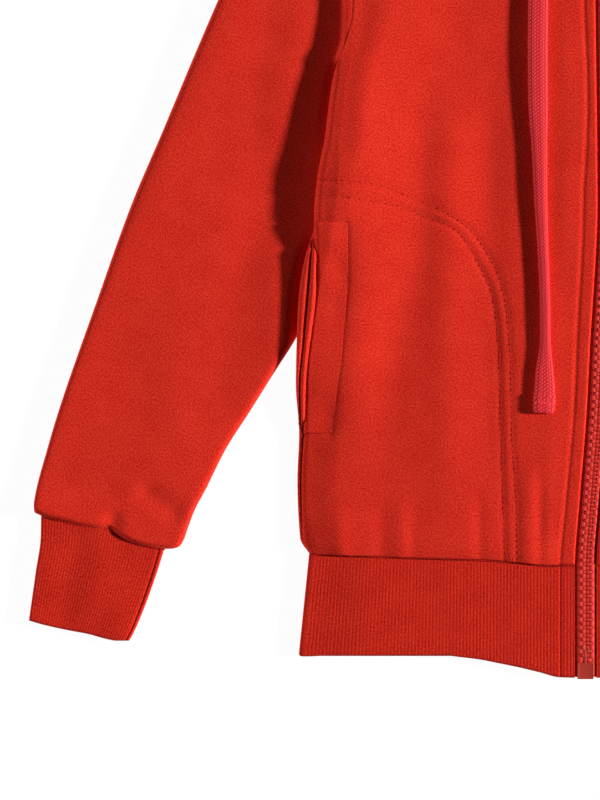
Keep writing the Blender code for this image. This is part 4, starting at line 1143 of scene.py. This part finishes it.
for wearer, side in SIDES:
    welt = make_welt(f"fleece_pocket_welt_{wearer}", side)
    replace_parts(welt, f"pocket_welt_{wearer}")
    facing = make_facing(f"fleece_pocket_facing_{wearer}", side)
    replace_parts(facing, f"pocket_facing_{wearer}")

# %% [markdown]
# ## Zip
# Tape on each side, moulded teeth that alternate from left and right, and the box with its pin at the foot.
# Each tooth is a small rounded block of a few dozen faces, repeated along the zip's line.

# %% Zip tapes
def make_tape(name, side):
    """Tape from the middle, beneath the teeth, to its edge beneath the front's turned edge."""
    up = np.linspace(-11, 449, 120)
    across = np.array([0.3, 2.2, 3.4, ZIP_HALF, 5.2, 5.9, 6.6, 8.0, 12.9])
    x = zip_x(up)[:, None] + side * across[None, :]
    z = np.broadcast_to(np.array([7.1, 7.15, 7.2, 7.1, 6.8, 6.2, 5.4, 4.7, 4.6]), x.shape)
    points = np.stack([x, np.broadcast_to(up[:, None], x.shape), z], -1)
    return cloth(name, points, tape_cloth, wall=0.5)


for wearer, side in SIDES:
    tape = make_tape(f"woven_zip_tape_{wearer}", side)
    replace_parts(tape, f"zip_tape_{wearer}")

# %% Zip teeth
TOOTH_PITCH = 4.4
TEETH_A_SIDE = 99


def finish_moulding(name, form, finish, rounding, segments):
    """The form with rounded edges, as an object on the garment."""
    bmesh.ops.bevel(
        form, geom=form.edges[:], offset=rounding * MM, segments=segments, profile=0.5, affect="EDGES",
        material=-1,
    )
    bmesh.ops.recalc_face_normals(form, faces=form.faces)
    made = mesh_object(name, form, finish)
    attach(made, "garment")
    print(name, len(made.data.polygons), "faces")
    return made


def make_teeth():
    """Teeth from both tapes in turn: a broad head across the middle, a narrow neck and a root on the tape."""
    form = bmesh.new()
    parts = (
        # how far to the tooth's own side, size across, along and high, height of the top
        (-1.5, (3.1, 2.6, 2.6), 7.5),
        (0.9, (2.6, 1.6, 2.5), 7.45),
        (3.1, (2.6, 4.1, 2.4), 7.5),
        (5.0, (2.0, 0.9, 0.8), 6.9),
    )
    for side in (-1, 1):
        for i in range(TEETH_A_SIDE):
            up = -1.2 + TOOTH_PITCH * (i + (0.5 if side > 0 else 0.0))
            x = float(zip_x(up))
            lean = -math.atan2(float(zip_x(up + 5)) - x, 5.0)
            for offset, size, top in parts:
                place = block_matrix(x + side * offset, up, top - size[2] / 2, size, lean)
                bmesh.ops.create_cube(form, size=1.0, matrix=place)
    return finish_moulding("moulded_zip_teeth", form, acetal, 0.22, 1)


teeth = make_teeth()
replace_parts(teeth, "zip_teeth")

# %% Zip box
def make_box():
    """Box with a shallow panel in its top, and above it the pin and two small stops."""
    x = float(zip_x(0.0))
    form = bmesh.new()
    bmesh.ops.create_cube(form, size=1.0, matrix=block_matrix(x, -7.6, 5.4, (8.8, 9.2, 4.4)))
    top = [f for f in form.faces if f.calc_center_median().z > 0.0075]
    bmesh.ops.inset_region(form, faces=top, thickness=1.3 * MM, depth=-0.35 * MM)
    for offset, up, size in (
        (-0.2, 0.4, (1.5, 7.4, 2.2)), (-1.4, 5.6, (1.5, 3.2, 2.2)), (1.4, 4.0, (1.4, 2.6, 2.2)),
        (-3.6, 0.2, (1.6, 7.0, 1.4)),
    ):
        bmesh.ops.create_cube(form, size=1.0, matrix=block_matrix(x + offset, up, 6.5, size))
    return finish_moulding("moulded_zip_box", form, box_acetal, 0.35, 2)


box = make_box()
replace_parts(box, "zip_box")

# %% Enamel on slider, pull and eyelets
for name in ("zip_slider", "zip_pull", "eyelet_right", "eyelet_left"):
    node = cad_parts[name]
    for material_slot in node.material_slots:
        material_slot.material = enamel
